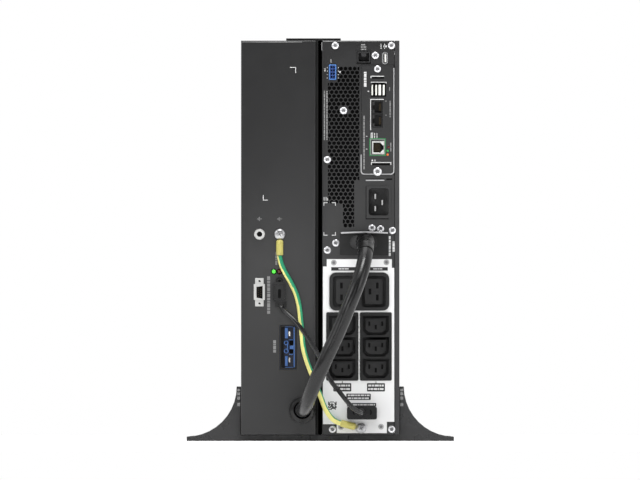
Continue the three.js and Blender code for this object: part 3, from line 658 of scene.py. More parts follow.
def make_lug(node, direction, seat):
    """A ring terminal under its screw, with a shrink sleeve over the barrel."""
    x, z = LUG_CENTRES[node]
    line = []
    for reach, _ in LUG_PROFILE:
        line.append(Vector((x + direction[0] * reach, out(seat + 4), z + direction[1] * reach)) * MM)
    radii = [r * MM for _, r in LUG_PROFILE]
    sleeve = tube(f"{node}_sleeve", line, radii, 28, "sleeve", ["sleeve"])
    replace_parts(sleeve, node)
    bm = bmesh.new()
    add_turned(bm, x, z, flat_ring(2.9, 5.6, out(seat), out(seat + 1)), 28)
    return [sleeve, add_piece(f"{node}_ring", bm, "zinc", "zinc")]


def make_comm_plug_battery():
    """The round-cornered plug with its jack screw, a raised top and a slot in the middle; the slot, the
    screw's middle and the ring round it are flat dark shapes, painted shade.
    """
    plug = refined("comm_plug_battery", "outlet_black", 0.8)
    outline = rounded((-50.6, -39.4), (154.2, 171.8), 2.4)
    top = add_plates("comm_plug_top", [outline], (out(13.7), out(12.5)), "cable_rubber", "outlet_black")
    bevel(top, 0.5, 3)
    bm = bmesh.new()
    add_prism(bm, rounded((-46.3, -43), (156.4, 166.4), 1.4), (out(13.78), out(13.4)))
    for inner, outer, sides in ((0, 1.5, 16), (2.7, 3.3, 24)):
        add_turned(bm, -44.6, 175.6, flat_ring(inner, outer, out(9.4), out(9)), sides)
    return [plug, top, add_piece("comm_plug_slot", bm, "cable_rubber", "dark")]


def make_comm_plug_ups():
    """The plug in the outlet plate, with a curved finger notch near each end, drawn as a flat dark arc:
    painted shade.
    """
    plug = refined("comm_plug_ups", "outlet_black", 0.5)
    face = rear_of("comm_plug_ups")
    arc = [math.radians(-60 + 120 * i / 8) for i in range(9)]
    z = 31.5
    notches = []
    for x, side in ((37.2, -1), (54.8, 1)):
        outer = [(x + side * 3.2 * math.cos(a) - side * 1.6, z + 3.6 * math.sin(a)) for a in arc]
        inner = [(x + side * 1.8 * math.cos(a) - side * 1.6, z + 2.7 * math.sin(a)) for a in arc]
        notches.append(outer + inner[::-1])
    depths = (face - 0.06, face + 0.5)
    return [plug, add_plates("comm_plug_ups_notches", notches, depths, "cable_rubber", "dark")]


def make_cords():
    power = route_line(POWER_ROUTE)
    piece = round_cord("power_cable_jacket", power, POWER_DIAMETER, 36, "cable_rubber", ["rubber"])
    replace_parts(piece, "power_cable")
    plug = refined("power_plug", "boot", 1.2, segments=3)
    make_plug_boot(power)

    comm = route_line(COMM_ROUTE)
    piece = round_cord("comm_cable_jacket", comm, COMM_DIAMETER, 20, "cable_rubber", ["thin_jacket"])
    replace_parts(piece, "comm_cable")
    make_comm_plug_battery() + make_comm_plug_ups()

    ground = route_line(GROUND_ROUTE)
    piece = round_cord("ground_wire_jacket", ground, GROUND_DIAMETER, 48, "ground_jacket",
                       ["wire_green", "wire_yellow"], stripe=(150, 112, 33))
    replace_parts(piece, "ground_wire")
    lugs = make_lug("ground_lug_battery", (0, -1), 0.3) + make_lug("ground_lug_ups", (-0.969, 0.249), 1.6)


# ------------------------------------------------------------------ cases and panels

HEX_PITCH = (5.04, 4.3)
HEX_FIRST = (22.66, 408.4)
HEX_FLATS = 4.05
HEX_ROWS = 41
HEX_COLUMNS = range(-4, 6)
SCREW_BOSSES = ((25.5, 362.3), (7.7, 308.5))
BOSS_R = 5.4


def honeycomb_span(z):
    """The left and right limits of the vent field at a height."""
    right = 37.2 if z < 285 else 42.9
    if z > 393.6:
        return 18.9, right
    return (24.8, right) if z < 262 else (8.3, right)


def clipped(outline, limit, way):
    """The part of an outline on one side of an upright line: right of it for 1, left of it for -1."""
    kept = []
    for (x0, z0), (x1, z1) in zip(outline, outline[1:] + outline[:1]):
        inside0, inside1 = way * (x0 - limit) >= 0, way * (x1 - limit) >= 0
        if inside0:
            kept.append((x0, z0))
        if inside0 != inside1:
            share = (limit - x0) / (x1 - x0)
            kept.append((limit, z0 + (z1 - z0) * share))
    return kept


def honeycomb():
    """The outlines of the vent's staggered six-sided holes."""
    holes = []
    radius = HEX_FLATS / math.sqrt(3)
    for row in range(HEX_ROWS):
        z = HEX_FIRST[1] - row * HEX_PITCH[1]
        left, right = honeycomb_span(z)
        for column in HEX_COLUMNS:
            x = HEX_FIRST[0] + (column + (row % 2) / 2) * HEX_PITCH[0]
            if x < left - 1 or x > right + 1:
                continue
            if any(math.hypot(x - bx, z - bz) < BOSS_R for bx, bz in SCREW_BOSSES):
                continue
            hole = disc(x, z, radius, 6, math.pi / 6)
            hole = clipped(clipped(hole, left, 1), right, -1)
            if len(hole) > 2 and max(p[0] for p in hole) - min(p[0] for p in hole) > 0.8:
                holes.append(hole)
    return holes


def node_rect(node, by=0.0):
    low, high = span(node)
    return (low.x - by, high.x + by), (low.z - by, high.z + by)


def rect(x, z):
    return [(x[0], z[0]), (x[1], z[0]), (x[1], z[1]), (x[0], z[1])]


SOCKET_GAP = 0.3
BEND_R = 1.3  # where the rear panels' sheet turns over the casing
INLET_OPENING = ((51.6, 76.6), (245.8, 278.7))
MONITOR_OPENING = ((-70.3, -62.7), (155.7, 170.3))
GROMMET_X, GROMMET_Z, GROMMET_R = -19.5, 33.9, 8.4


def outlet_holes():
    holes = [rounded(*node_rect("c19_outlet_block", SOCKET_GAP), 7)]
    for name in ("c13_outlet_block_left", "c13_outlet_block_right"):
        holes.append(rounded(*node_rect(name, SOCKET_GAP), 1.8))
    return holes


def round_top_edges(piece, width):
    """Rounds the outer top and bottom edges of a rear panel."""
    bm = bmesh.new()
    bm.from_mesh(piece.data)
    low = min(v.co.z for v in bm.verts)
    high = max(v.co.z for v in bm.verts)
    face_y = min(v.co.y for v in bm.verts)
    chosen = [
        e for e in bm.edges
        if all(abs(v.co.y - face_y) < 1e-6 and min(v.co.z - low, high - v.co.z) < 1e-6 for v in e.verts)
    ]
    bmesh.ops.bevel(bm, geom=chosen, offset=width * MM, segments=4, profile=0.5, affect="EDGES")
    bm.to_mesh(piece.data)
    bm.free()
    smooth(piece.data, 25)


def make_ups_panel():
    """The UPS's rear panel: a notch for the card, an opening for each socket and the vent."""
    low, high = span("ups_rear_panel")
    card_x, card_z = node_rect("card_faceplate", SOCKET_GAP)
    notch = [(high.x, card_z[0]), (card_x[0] + 4, card_z[0]), (card_x[0], card_z[0] + 4),
             (card_x[0], card_z[1]), (high.x, card_z[1])]
    outline = [(low.x, low.z), (high.x, low.z), *notch, (high.x, high.z), (low.x, high.z)]
    holes = [
        *outlet_holes(),
        rounded(*INLET_OPENING, 3),
        rounded(*node_rect("usb_port", SOCKET_GAP), 3.2),
        rect(*node_rect("serial_jack", SOCKET_GAP)),
        rect(*node_rect("epo_connector", SOCKET_GAP)),
        *honeycomb(),
    ]
    y = (low.y, high.y)
    panel = sheet_piece("ups_vented_rear_panel", "ups_rear_panel", outline, holes, y, "paint")
    round_top_edges(panel, BEND_R)


def make_battery_panel():
    low, high = span("battery_rear_panel")
    outline = rect(*node_rect("battery_rear_panel"))
    holes = [
        rect(*node_rect("dc_socket", SOCKET_GAP)),
        rect(*MONITOR_OPENING),
        disc(GROMMET_X, GROMMET_Z, GROMMET_R, 32),
    ]
    y = (low.y, high.y)
    panel = sheet_piece("battery_plain_rear_panel", "battery_rear_panel", outline, holes, y, "paint")
    round_top_edges(panel, BEND_R)


def make_cases():
    make_ups_panel()
    make_battery_panel()
    for node in ("ups_base_tray", "battery_base_tray"):
        refined(node, "paint", 0.8)
    refined("ups_top_cover", "lid_paint", 0.8)
    # the battery's cover takes the darker copy of the paint: painted shade
    refined("battery_top_cover", "shaded_cover_paint", 0.8)
    make_shade_fills()
    refined("top_joining_plate", "joining_paint", 0.5)
    make_edge_highlight()


def make_shade_fills():
    """Dark pieces that close the view as painted shade: a dark sheet behind the vent, and a dark block in the
    gap between the units.
    """
    screen = [(3, 228), (44.4, 228), (44.4, 412), (18.9, 412), (18.9, 395), (3, 395)]
    add_plates("vent_shade_sheet", [screen], (out(-2.2), out(-3)), "plastic", "dark")
    strip = ((span("battery_base_tray")[1].x, 1.6), (out(-60), out(-66)), (BOTTOM_Z + 0.1, TOP_Z))
    add_boxes("gap_shade_block", [strip], "plastic", "dark")


def make_edge_highlight():
    """Thin bright lines along the bends of the rear panels: a painted highlight where the bends catch the
    light.
    """
    lines = []
    for node, x, drop in (("ups_rear_panel", (3, 44), 0.25), ("battery_rear_panel", (-85.5, -20), 1.1)):
        low, high = span(node)
        lines.append((x, (low.y - 0.04, low.y + 1), (high.z - drop - 0.85, high.z - drop)))
    add_boxes("panel_edge_highlight", lines, "paint", "edge_highlight")


def make_sockets():
    low, high = span("outlet_plate")
    top_tab, low_tab = (7.1, 78.5), (18, 73)
    outline = [
        (low_tab[0], low.z), (low_tab[1], low.z), (low_tab[1], 21.1), (high.x, 21.1), (high.x, 189.8),
        (top_tab[1], 189.8), (top_tab[1], high.z), (top_tab[0], high.z), (top_tab[0], 191.4),
        (low.x, 191.4), (low.x, 18.5), (low_tab[0], 18.5),
    ]
    y = (low.y, high.y)
    sheet_piece("outlet_plate_printed", "outlet_plate", outline, outlet_holes(), y, "white_plate")
    make_outlets()
    make_inlet()
    refined("dc_receptacle", "outlet_black", 0.5)
    make_serial_jack()
    make_usb_port()
    make_epo_connector()


def make_inlet():
    """The power inlet: a flange round a deep mouth, with three blades inside."""
    refined("ac_inlet", "plastic", 0.35)
    face = rear_of("ac_inlet")
    x, z = node_rect("ac_inlet")
    flange = [rounded(x, z, 1.5), rounded((53, 75.2), (247.3, 277.2), 3.5)]
    add_frames("inlet_flange_face", [flange], (face - 0.1, face + 0.2), "plastic", "paint")
    y = (out(0.06), out(-0.1))
    gap = [((x[0] - 0.6, x[0]), y, z), ((x[0] - 0.6, x[1] - 2), y, (z[0] - 0.9, z[0]))]
    add_boxes("inlet_shadow_gap", gap, "plastic", "dark")
    blades = []
    for px, pz in ((60.3, 268.2), (60.3, 254.9), (68, 261.5)):
        blades.append(((px - 0.85, px + 0.85), (face + 1.6, face + 12), (pz - 2.8, pz + 2.8)))
    bevel(add_boxes("inlet_blades", blades, "zinc", "blade_metal"), 0.3)


def make_serial_jack():
    """A modular jack with a fine raised frame, a latch notch and a shadow gap below it."""
    refined("serial_jack", "outlet_black", 0.2)
    face = rear_of("serial_jack")
    bm = bmesh.new()
    frame_loops = [rect((41, 54.4), (415.3, 426.6)), rect((41.7, 53.7), (416, 425.9))]
    add_sheet(bm, frame_loops, (face - 0.1, face + 0.2))
    add_prism(bm, [(44.6, 425.5), (50.8, 425.5), (49.8, 421.6), (45.6, 421.6)], (face + 0.6, face + 3))
    add_piece("serial_jack_frame", bm, "plastic", "lid_paint")
    gap = ((40.1, 55.3), (face - 0.06, face + 0.2), (413.9, 415))
    add_boxes("serial_jack_shadow_gap", [gap], "plastic", "dark")


def make_usb_port():
    """A small oval port: a fine bright rim round a dark mouth, and the white tongue."""
    refined("usb_port", "plastic", 0.2)
    face = rear_of("usb_port")
    x, z = node_rect("usb_port")
    rims = []
    for inset, width in ((0, 0.45), (1.1, 0.3)):
        rims.append([rounded(grown(x, -by), grown(z, -by), 3.05 - by, 8) for by in (inset, inset + width)])
    add_frames("usb_port_rims", rims, (face - 0.1, face + 0.3), "zinc", "bright_edge")
    tongue = rounded((70.5, 72.1), (415.5, 424.3), 0.6)
    add_plates("usb_port_tongue", [tongue], (face - 0.05, face + 3), "white_plate", "white_plastic")


def add_slots(bm, slots, y, margin=0.0):
    """Boxes for slots given as (x, z, width, height), with a margin round each."""
    for x, z, width, height in slots:
        x_limits = (x - width / 2, x + width / 2)
        z_limits = (z - height / 2, z + height / 2)
        add_box(bm, grown(x_limits, margin), y, grown(z_limits, margin))


def slot_cutter(slots, face_y):
    """Cutters that reach from outside a face to inside the block."""
    bm = bmesh.new()
    add_slots(bm, slots, (face_y - 3, face_y + 8))
    return bm


C13_PITCH = 23.6
C19_CENTRES = (27.15, 58.65)


def cut_outlet(node, material, width, slots, contacts, segments=2):
    """An outlet block with its blade slots, and a dark box a little way down each slot: painted shade deep in
    the slot.
    """
    face = rear_of(node) + 1
    refined(node, material, width, slot_cutter(slots, face), segments)
    add_slots(contacts, slots, (face + 0.6, face + 7.5), 0.1)


def make_outlets():
    # the dark boxes gathered here are painted shade deep in the blade slots
    contacts = bmesh.new()
    for node in ("c13_outlet_block_left", "c13_outlet_block_right"):
        x, middle = middle_of(node)
        slots = []
        for row in (-1, 0, 1):
            z = middle - 0.5 + row * C13_PITCH
            slots += [(x - 7.1, z + 1.9, 2.3, 5), (x + 7.1, z + 1.9, 2.3, 5), (x, z - 1.9, 2.3, 5)]
        cut_outlet(node, "outlet_black", 0.35, slots, contacts)
    z = middle_of("c19_outlet_block")[1]
    slots = []
    for x, side in zip(C19_CENTRES, (-1, 1)):
        slots += [(x + side * 3.9, z + 6.55, 2.8, 6.4), (x + side * 3.9, z - 6.55, 2.8, 6.4),
                  (x - side * 4.2, z, 2.8, 6.4)]
    cut_outlet("c19_outlet_block", "c19_black", 0.5, slots, contacts, 3)
    # painted shade down the blade slots
    add_piece("outlet_slot_shade", contacts, "plastic", "dark")


def make_epo_connector():
    face = rear_of("epo_connector")
    x, z = node_rect("epo_connector")
    slots = []
    for column in (0.35, 0.68):
        for row in (0.18, 0.4, 0.61, 0.82):
            slots.append((x[0] + (x[1] - x[0]) * column, z[0] + (z[1] - z[0]) * row, 1.8, 2.2))
    refined("epo_connector", "blue", 0.3, slot_cutter(slots, face))
    # a lighter blue frame round the connector's face: painted highlight on its edges
    rim = [rounded(grown(x, -inset), grown(z, -inset), r, 2) for inset, r in ((0.1, 0.6), (0.9, 0.4))]
    add_frames("epo_connector_edge_highlight", [rim], (face - 0.25, face + 0.3), "blue_plastic", "blue_edge_highlight")


# ------------------------------------------------------------------ screws

# x, z and radius
CASE_SCREWS = (
    (16.4, 433.6, 4), (78.1, 433.6, 4), (60.4, 422.8, 4), (25.5, 362.3, 4), (7.7, 308.5, 4), (56.8, 233.4, 4),
    (66.1, 232.4, 4), (79.1, 230.8, 4), (17, 217.1, 4), (7.7, 209.2, 4), (13.3, 12.9, 4), (78.2, 12.9, 4),
)
PLATE_SCREWS = ((14.8, 195.6, 3.1), (72.5, 195.9, 3.1), (22.7, 15.2, 3.1), (66.7, 15.7, 3.1))
CARD_SCREWS = ((62.8, 407.9, 3.85), (62.8, 295.3, 4.7))


def add_pan_head(bm, x, z, r, y, height):
    """A pan head with a driver recess in the second material, a darker metal that paints the shade in the
    recess; y is the surface that it bears on.
    """
    first = len(bm.faces)
    profile = [
        (0, y), (r, y), (r, y - 0.35 * height), (0.92 * r, y - 0.7 * height), (0.75 * r, y - 0.93 * height),
        (0.56 * r, y - height), (0.50 * r, y - 0.92 * height), (0.3 * r, y - 0.6 * height),
        (0, y - 0.45 * height),
    ]
    add_turned(bm, x, z, profile, 28)
    bm.faces.ensure_lookup_table()
    for face in bm.faces[first:]:
        middle = face.calc_center_median()
        if math.hypot(middle.x - x, middle.z - z) < 0.51 * r and middle.y < y - 0.1:
            face.material_index = 1


def make_screws():
    for name, body, material, face, height, places in (
        ("case_screws", "chassis", "screw_metal", 0, 1.7, CASE_SCREWS),
        ("plate_screws", "chassis", "dull_screw", PLATE_FACE, 0.6, PLATE_SCREWS),
        ("card_screws", "network_card", "screw_metal", CARD_FACE, 2.2, CARD_SCREWS),
    ):
        bm = bmesh.new()
        for x, z, r in places:
            add_pan_head(bm, x, z, r, out(face), height)
        add_piece(name, bm, "zinc", material, "shaded_recess_metal", body=body, angle=30)
    for node in ("ground_screw_battery", "ground_screw_ups"):
        make_ground_screw(node)


def make_ground_screw(node):
    """A large domed screw with a cross recess, drawn as a flat dark cross: painted shade."""
    low, high = span(node)
    x, z = middle_of(node)
    r, top = (high.x - low.x) / 2, low.y
    dome = [(0, top + 3), (r, top + 3), (r, top + 2), (0.9 * r, top + 1), (0.66 * r, top + 0.3),
            (0.35 * r, top), (0, top)]
    bm = bmesh.new()
    add_turned(bm, x, z, dome, 40)
    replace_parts(add_piece(f"{node}_finished", bm, "zinc", "dull_zinc", angle=40), node)
    arms = []
    for turn in (0.5, 0.5 + math.pi / 2):
        arm = Vector((math.cos(turn), math.sin(turn)))
        side = Vector((-arm.y, arm.x)) * 0.55
        ends = (arm * 2.5 + side, -arm * 2.5 + side, -arm * 2.5 - side, arm * 2.5 - side)
        arms.append([(x + p.x, z + p.y) for p in ends])
    add_plates(f"{node}_recess", arms, (top - 0.08, top + 0.5), "zinc", "shaded_recess_metal")


# ------------------------------------------------------------------ printed marks

INK_DEPTH = 0.08
WORDS = (3.4, 2.2, 4.6, 1.7, 2.9, 3.8, 1.4, 4.1)  # lengths of the bars that stand for words


def words(x, z, upright, gap=0.9, start=0):
    """Bars of uneven length that fill a line; an upright line runs down Z."""
    line = z if upright else x
    place, shapes, index = line[0], [], start
    while place < line[1] - 0.8:
        end = min(place + WORDS[index % len(WORDS)], line[1])
        shapes.append(rect(x, (place, end)) if upright else rect((place, end), z))
        place = end + gap
        index += 1
    return shapes


def corner_mark(x, z, dx, dz, arms=(4.4, 3.7), stroke=0.75):
    """An L of two strokes that meet at x, z and run the way that dx and dz point."""
    return [
        rect(sorted((x, x + dx * arms[0])), sorted((z, z + dz * stroke))),
        rect(sorted((x, x + dx * stroke)), sorted((z + dz * stroke, z + dz * arms[1]))),
    ]


def rects(*limits):
    return [rect(x, z) for x, z in limits]


def ground_symbol(x, z):
    """Three bars beside a stem, on its side."""
    bars = []
    for i, half in enumerate((2.2, 1.4, 0.6)):
        bars.append(rect((x - i * 1.2 - 0.25, x - i * 1.2 + 0.25), (z - half, z + half)))
    return [*bars, rect((x + 0.25, x + 2.6), (z - 0.25, z + 0.25))]


def print_marks(name, surface_y, material, shapes, body="chassis"):
    """Thin flats on a surface, all in one piece."""
    y = (surface_y - INK_DEPTH, surface_y + 0.05)
    return add_plates(name, shapes, y, "white_plate", material, body)


def ups_marks():
    shapes = []
    for x, dx in ((3.6, 1), (17, -1)):
        for z, dz in ((261.7, -1), (225.3, 1)):
            shapes += corner_mark(x, z, dx, dz)
    shapes += rects(((3.8, 4.6), (263.6, 267.6)), ((6, 6.8), (263.6, 267.6)), ((7.6, 8.4), (263.6, 266.4)))
    shapes += rects(((65.9, 67.4), (430.2, 430.9)), ((66.3, 67), (431.4, 435.4)))
    shapes += [disc(70.6, 432.6, 1.3, 12), *rects(((70.2, 71), (430, 435.6)), ((72, 73), (431.6, 433.8)))]
    for i in range(4):
        line = (397.6 + i * 3.8, 398.5 + i * 3.8)
        shapes += rects(((19.4, 20.2), line), ((7.4, 8.1), line))
    shapes += rects(((4.2, 6.2), (405.6, 406.3)), ((4.2, 6.2), (407.6, 408.3)), ((21, 22.2), (403.4, 405.4)))
    shapes += words((75.2, 77.2), (203, 224.6), True, 0.7)
    shapes += words((79.2, 81.6), (207.6, 218.8), True, 0.5, 3)
    return shapes


def ups_fine_marks():
    shapes = [*words((3.9, 5.2), (330, 384), True, 0.6), *words((6.7, 8), (330, 384), True, 0.6, 3)]
    for i, z in enumerate((428.8, 431.3, 433.8)):
        shapes += words((44.6, 50.4), (z, z + 1.4), False, 0.6, i)
    shapes += [rect((11.1, 12.3), (414.8, 418.6))]
    return shapes


def battery_marks():
    shapes = corner_mark(-26.6, 410, -1, -1, (6.6, 6.5), 0.7)
    shapes += corner_mark(-62.9, 263.8, 1, 1, (5.3, 5.8), 0.7)
    return shapes


def battery_fine_marks():
    shapes = ground_symbol(-66.6, 243.5) + ground_symbol(-44.5, 243.5)
    shapes += words((-58.2, -55), (139.5, 180.5), True, 0.7)
    shapes += words((-51.6, -48.6), (97, 110.5), True, 0.6, 4)
    shapes += words((-49.2, -47.2), (193, 207.4), True, 0.6, 2)
    return shapes


def plate_marks():
    shapes = [rect((12, 74), (186.8, 190.6))]
    for x in ((14.3, 34), (51.2, 70.9)):
        middle = (x[0] + x[1]) / 2
        shapes += [rounded(x, (54.3, 63.5), 0.8, 2), rect((middle - 0.4, middle + 0.4), (63.5, 65.6))]
    shapes += [rounded((28.5, 55.4), (45, 52), 0.8, 2), rounded((29.3, 61.3), (37.8, 41.7), 0.5, 2)]
    return shapes + code_squares(8.6, 34.3)


def code_squares(left, bottom):
    """A square block of dark squares in an uneven pattern that encodes nothing."""
    shapes = []
    for row in range(9):
        for column in range(9):
            if math.sin(row * 12.9 + column * 78.2) * 43758.5 % 1 < 0.6:
                x, z = left + column * 1.04, bottom + row
                shapes.append(rect((x, x + 1), (z, z + 0.95)))
    return shapes


def plate_words():
    shapes = words((20, 32), (188.2, 189.3), False, 0.5) + words((58, 68), (188.2, 189.3), False, 0.5, 2)
    for x in ((15.8, 32.6), (52.6, 69.6)):
        shapes += words(x, (59.8, 61.8), False, 0.7) + words(x, (56, 58), False, 0.7, 3)
    shapes += words((30.2, 54), (49.3, 50.9), False, 0.7, 1) + words((30.2, 54), (46.1, 47.7), False, 0.7, 5)
    shapes += words((36, 60), (39, 40.6), False, 0.7, 2)
    return shapes


def make_marks():
    for name, face, material, shapes in (
        ("ups_panel_marks", 0, "ink", ups_marks()),
        ("ups_panel_fine_marks", 0, "grey_ink", ups_fine_marks()),
        ("battery_panel_marks", 0, "ink", battery_marks()),
        ("battery_panel_fine_marks", 0, "grey_ink", battery_fine_marks()),
        ("outlet_plate_marks", PLATE_FACE, "black_ink", plate_marks()),
        ("outlet_plate_words", PLATE_FACE + INK_DEPTH, "ink", plate_words()),
    ):
        print_marks(name, out(face), material, shapes)
    strip = ((49.9, 70.2), (out(0.5), out(-0.2)), (285.3, 286.5))
    add_boxes("vent_strip", [strip], "zinc", "bright_edge")
    # flat dark boxes for the slots by the strip: painted shade inside them
    y = (out(0.05), out(-0.2))
    slots = [((72.5, 78.8), y, (286.2, 287.9)), ((49.9, 70.2), y, (286.5, 287.6))]
    add_boxes("vent_strip_slots", slots, "plastic", "dark")


# ------------------------------------------------------------------ network card


def add_card_rim(bm):
    """A narrow bright rim down the card's right edge, along its foot and part of its left edge: the plate's
    edge with a painted highlight.
    """
    x, z, r = (44.3, 81.2), (292.2, 409), 3.4
    path = [(x[1], z[1]), (x[1], z[0] + r)]
    for corner_x, first in ((x[1] - r, 0), (x[0] + r, -math.pi / 2)):
        for i in range(6):
            angle = first - math.pi / 2 * i / 5
            path.append((corner_x + r * math.cos(angle), z[0] + r + r * math.sin(angle)))
    path.append((x[0], 314))
    middle = Vector(((x[0] + x[1]) / 2, (z[0] + z[1]) / 2))
    inner = []
    for px, pz in path:
        shrunk = 1 - 0.95 / max(abs(px - middle.x), 1) if abs(px - middle.x) > 15 else 1
        inner.append((middle.x + (px - middle.x) * shrunk, pz if pz > z[0] + r else pz + 0.85))
    add_prism(bm, path + inner[::-1], (out(CARD_FACE + 0.3), out(CARD_FACE)))


def bracket(x, z, drop_left, drop_right, stroke=0.8):
    """A printed line with an end turned down at one or both sides."""
    shapes = [rect(x, (z - stroke, z))]
    if drop_left:
        shapes.append(rect((x[0], x[0] + stroke), (z - drop_left, z - stroke)))
    if drop_right:
        shapes.append(rect((x[1] - stroke, x[1]), (z - drop_right, z - stroke)))
    return shapes


def card_marks():
    shapes = bracket((55.2, 69.9), 400.4, 2.6, 0) + bracket((55.7, 77.8), 305.8, 3, 3)
    shapes += bracket((54.8, 69.6), 375, 34, 0)
    shapes += bracket((55.6, 64), 393.8, 1.8, 1.8, 0.7) + bracket((64.6, 72.6), 393.8, 1.8, 1.8, 0.7)
    shapes += bracket((55.4, 58), 338, 6.6, 0) + [rect((57, 57.7), (331.4, 336.4))]
    shapes += words((59.2, 60), (331.4, 338), True, 0.6) + words((61.8, 62.5), (330.6, 338), True, 0.6, 2)
    shapes += words((47.9, 50.7), (388.4, 404.8), True, 0.5, 2)
    shapes += rects(((50.2, 51.6), (333.8, 334.4)), ((50.2, 51.6), (319.8, 320.4)), ((52, 53.6), (383, 384)))
    shapes += [[(55.9, 306.8), (58.3, 306.8), (57.1, 309)], rect((59.6, 60.4), (306.4, 308.6))]
    return shapes


def card_fine_marks():
    shapes = words((47.3, 48.7), (298, 357), True, 0.7)
    shapes += words((76, 77.2), (355, 373), True, 0.6, 3) + words((76.8, 77.9), (317.5, 327), True, 0.5, 5)
    shapes += rects(((71.5, 72.6), (372.2, 373.2)), ((71.5, 72.6), (356.8, 357.8)))
    return [*shapes, rect((75.6, 76.4), (384, 388))]


def make_card():
    for node, material, width in (
        ("card_board", "board", 0), ("card_ethernet_jack", "jack_metal", 0.2),
        ("card_usb_jack", "dark", 0.15), ("card_io_jacks", "outlet_black", 0.2),
    ):
        refined(node, material, width)
    make_jack_keys()
    make_card_plate()
    face = out(CARD_FACE)
    print_marks("card_marks", face, "ink", card_marks(), "network_card")
    print_marks("card_fine_marks", face, "grey_ink", card_fine_marks(), "network_card")
    # the light rim drawn here is the plate's edge with a painted highlight
    bm = bmesh.new()
    add_card_rim(bm)
    add_piece("card_rim", bm, "zinc", "bright_edge", body="network_card")
    make_card_slots()
    make_ethernet_border()
    make_ethernet_mouth()
    make_card_lamps()
    make_usb_tongues()


def make_card_plate():
    """The card's plate, with its two lower corners rounded and a window for each jack."""
    low, high = span("card_faceplate")
    x, z = node_rect("card_faceplate")
    corner = 4
    outline = [(x[0], z[1])] + [p for p in rounded(x, z, corner) if p[1] <= z[0] + corner] + [(x[1], z[1])]
    jacks = ("card_ethernet_jack", "card_usb_jack", "card_io_jacks")
    windows = [rect(*node_rect(jack, SOCKET_GAP)) for jack in jacks]
    sheet_piece("card_faceplate_painted", "card_faceplate", outline, windows, (low.y, high.y), "paint")


def make_jack_keys():
    """The corners that narrow the left side of the two modular jacks, and their contacts."""
    face = rear_of("card_io_jacks")
    key = 3.4
    keys = []
    for z in ((345, 357.4), (360, 372)):
        for end in ((z[0], z[0] + key), (z[1] - key, z[1])):
            keys.append(((57.3, 59.5), (face + 0.2, face + 8), end))
    add_boxes("io_jack_keys", keys, "plastic", "paint", "network_card")
    contacts = []
    for z in (351.2, 366):
        for i in range(8):
            middle = z + (i - 3.5) * 1.02
            contacts.append(((64.4, 66.8), (face + 2, face + 2.4), (middle - 0.25, middle + 0.25)))
    add_boxes("io_jack_contacts", contacts, "zinc", "dim_contact", "network_card")


def make_card_slots():
    # flat dark boxes for the card plate's slots: painted shade inside them
    y = (out(CARD_FACE + 0.06), out(CARD_FACE - 0.2))
    slots = [((56.4, 69.9), y, (397.3, 399.4)), ((56.7, 76.4), y, (302.3, 304.6))]
    add_boxes("card_slots", slots, "plastic", "dark", "network_card")


def make_ethernet_border():
    """The green border round the network jack, and the light line inside it."""
    line, frame_edge = (54.9, 71), (313.6, 331.1)
    inside = rect(line, frame_edge)
    green = [
        [rect((53.9, 71.8), (312.7, 332)), inside],
        [rect((69.9, 71), (313.8, 330.8)), rect((70.1, 70.8), (314, 330.6))],
    ]
    y = (out(CARD_FACE + 0.25), out(CARD_FACE))
    add_frames("ethernet_green_border", green, y, "board", "green_print", "network_card")
    light = [inside, rect(grown(line, -0.65), grown(frame_edge, -0.65))]
    y = (out(CARD_FACE + 0.2), out(CARD_FACE))
    add_frames("ethernet_light_line", [light], y, "board", "grey_ink", "network_card")


def make_ethernet_mouth():
    """The network jack's stepped mouth, filled with dark boxes as painted shade, its corner wedges and its
    contacts.
    """
    face = out(1.6)
    mouth = [
        ((58.25, 68.55), (face + 1.4, face + 11.9), (316.45, 327.15)),
        ((68.5, 69.7), (face - 0.06, face + 0.4), (319.4, 324.2)),
    ]
    # dark boxes that fill the mouth: painted shade
    add_boxes("ethernet_mouth_dark", mouth, "plastic", "dark", "network_card")
    wedges = []
    for z, way in ((327.2, -1), (316.4, 1)):
        wedges.append([(65.8, z), (68.7, z), (68.7, z + way * 2.9)])
    y = (face - 0.05, face + 1.3)
    add_plates("ethernet_corner_wedges", wedges, y, "jack_metal", "ink", "network_card")
    contacts = []
    for i in range(8):
        z = 317.6 + i * 1.15
        contacts.append(((59, 66), (face + 1.2, face + 1.5), (z, z + 0.4)))
    add_boxes("ethernet_contacts", contacts, "zinc", "dim_contact", "network_card")


def make_card_lamps():
    """The three small lamps beside the network jack."""
    y = out(CARD_FACE)
    dome = [(0, y), (1.25, y), (1.1, y - 0.3), (0.6, y - 0.55), (0, y - 0.6)]
    for name, x, z, material in (
        ("card_led_orange", 73.9, 314, "orange_lens"), ("card_led_green", 73.9, 318.2, "small_green"),
        ("card_led_red", 75, 322.3, "red_lens"),
    ):
        bm = bmesh.new()
        add_turned(bm, x, z, dome, 16)
        add_piece(name, bm, "green_lens", material, body="network_card")


def make_usb_tongues():
    tongues = []
    for x in ((56.2, 57.8), (60.4, 62.2), (63.8, 66.6), (68.6, 70.6)):
        tongues.append((x, (out(1.5), out(0.2)), (379.1, 390.6)))
    bevel(add_boxes("usb_tongues", tongues, "jack_metal", "white_plastic", "network_card"), 0.25)


# ------------------------------------------------------------------ the rest of the CAD nodes

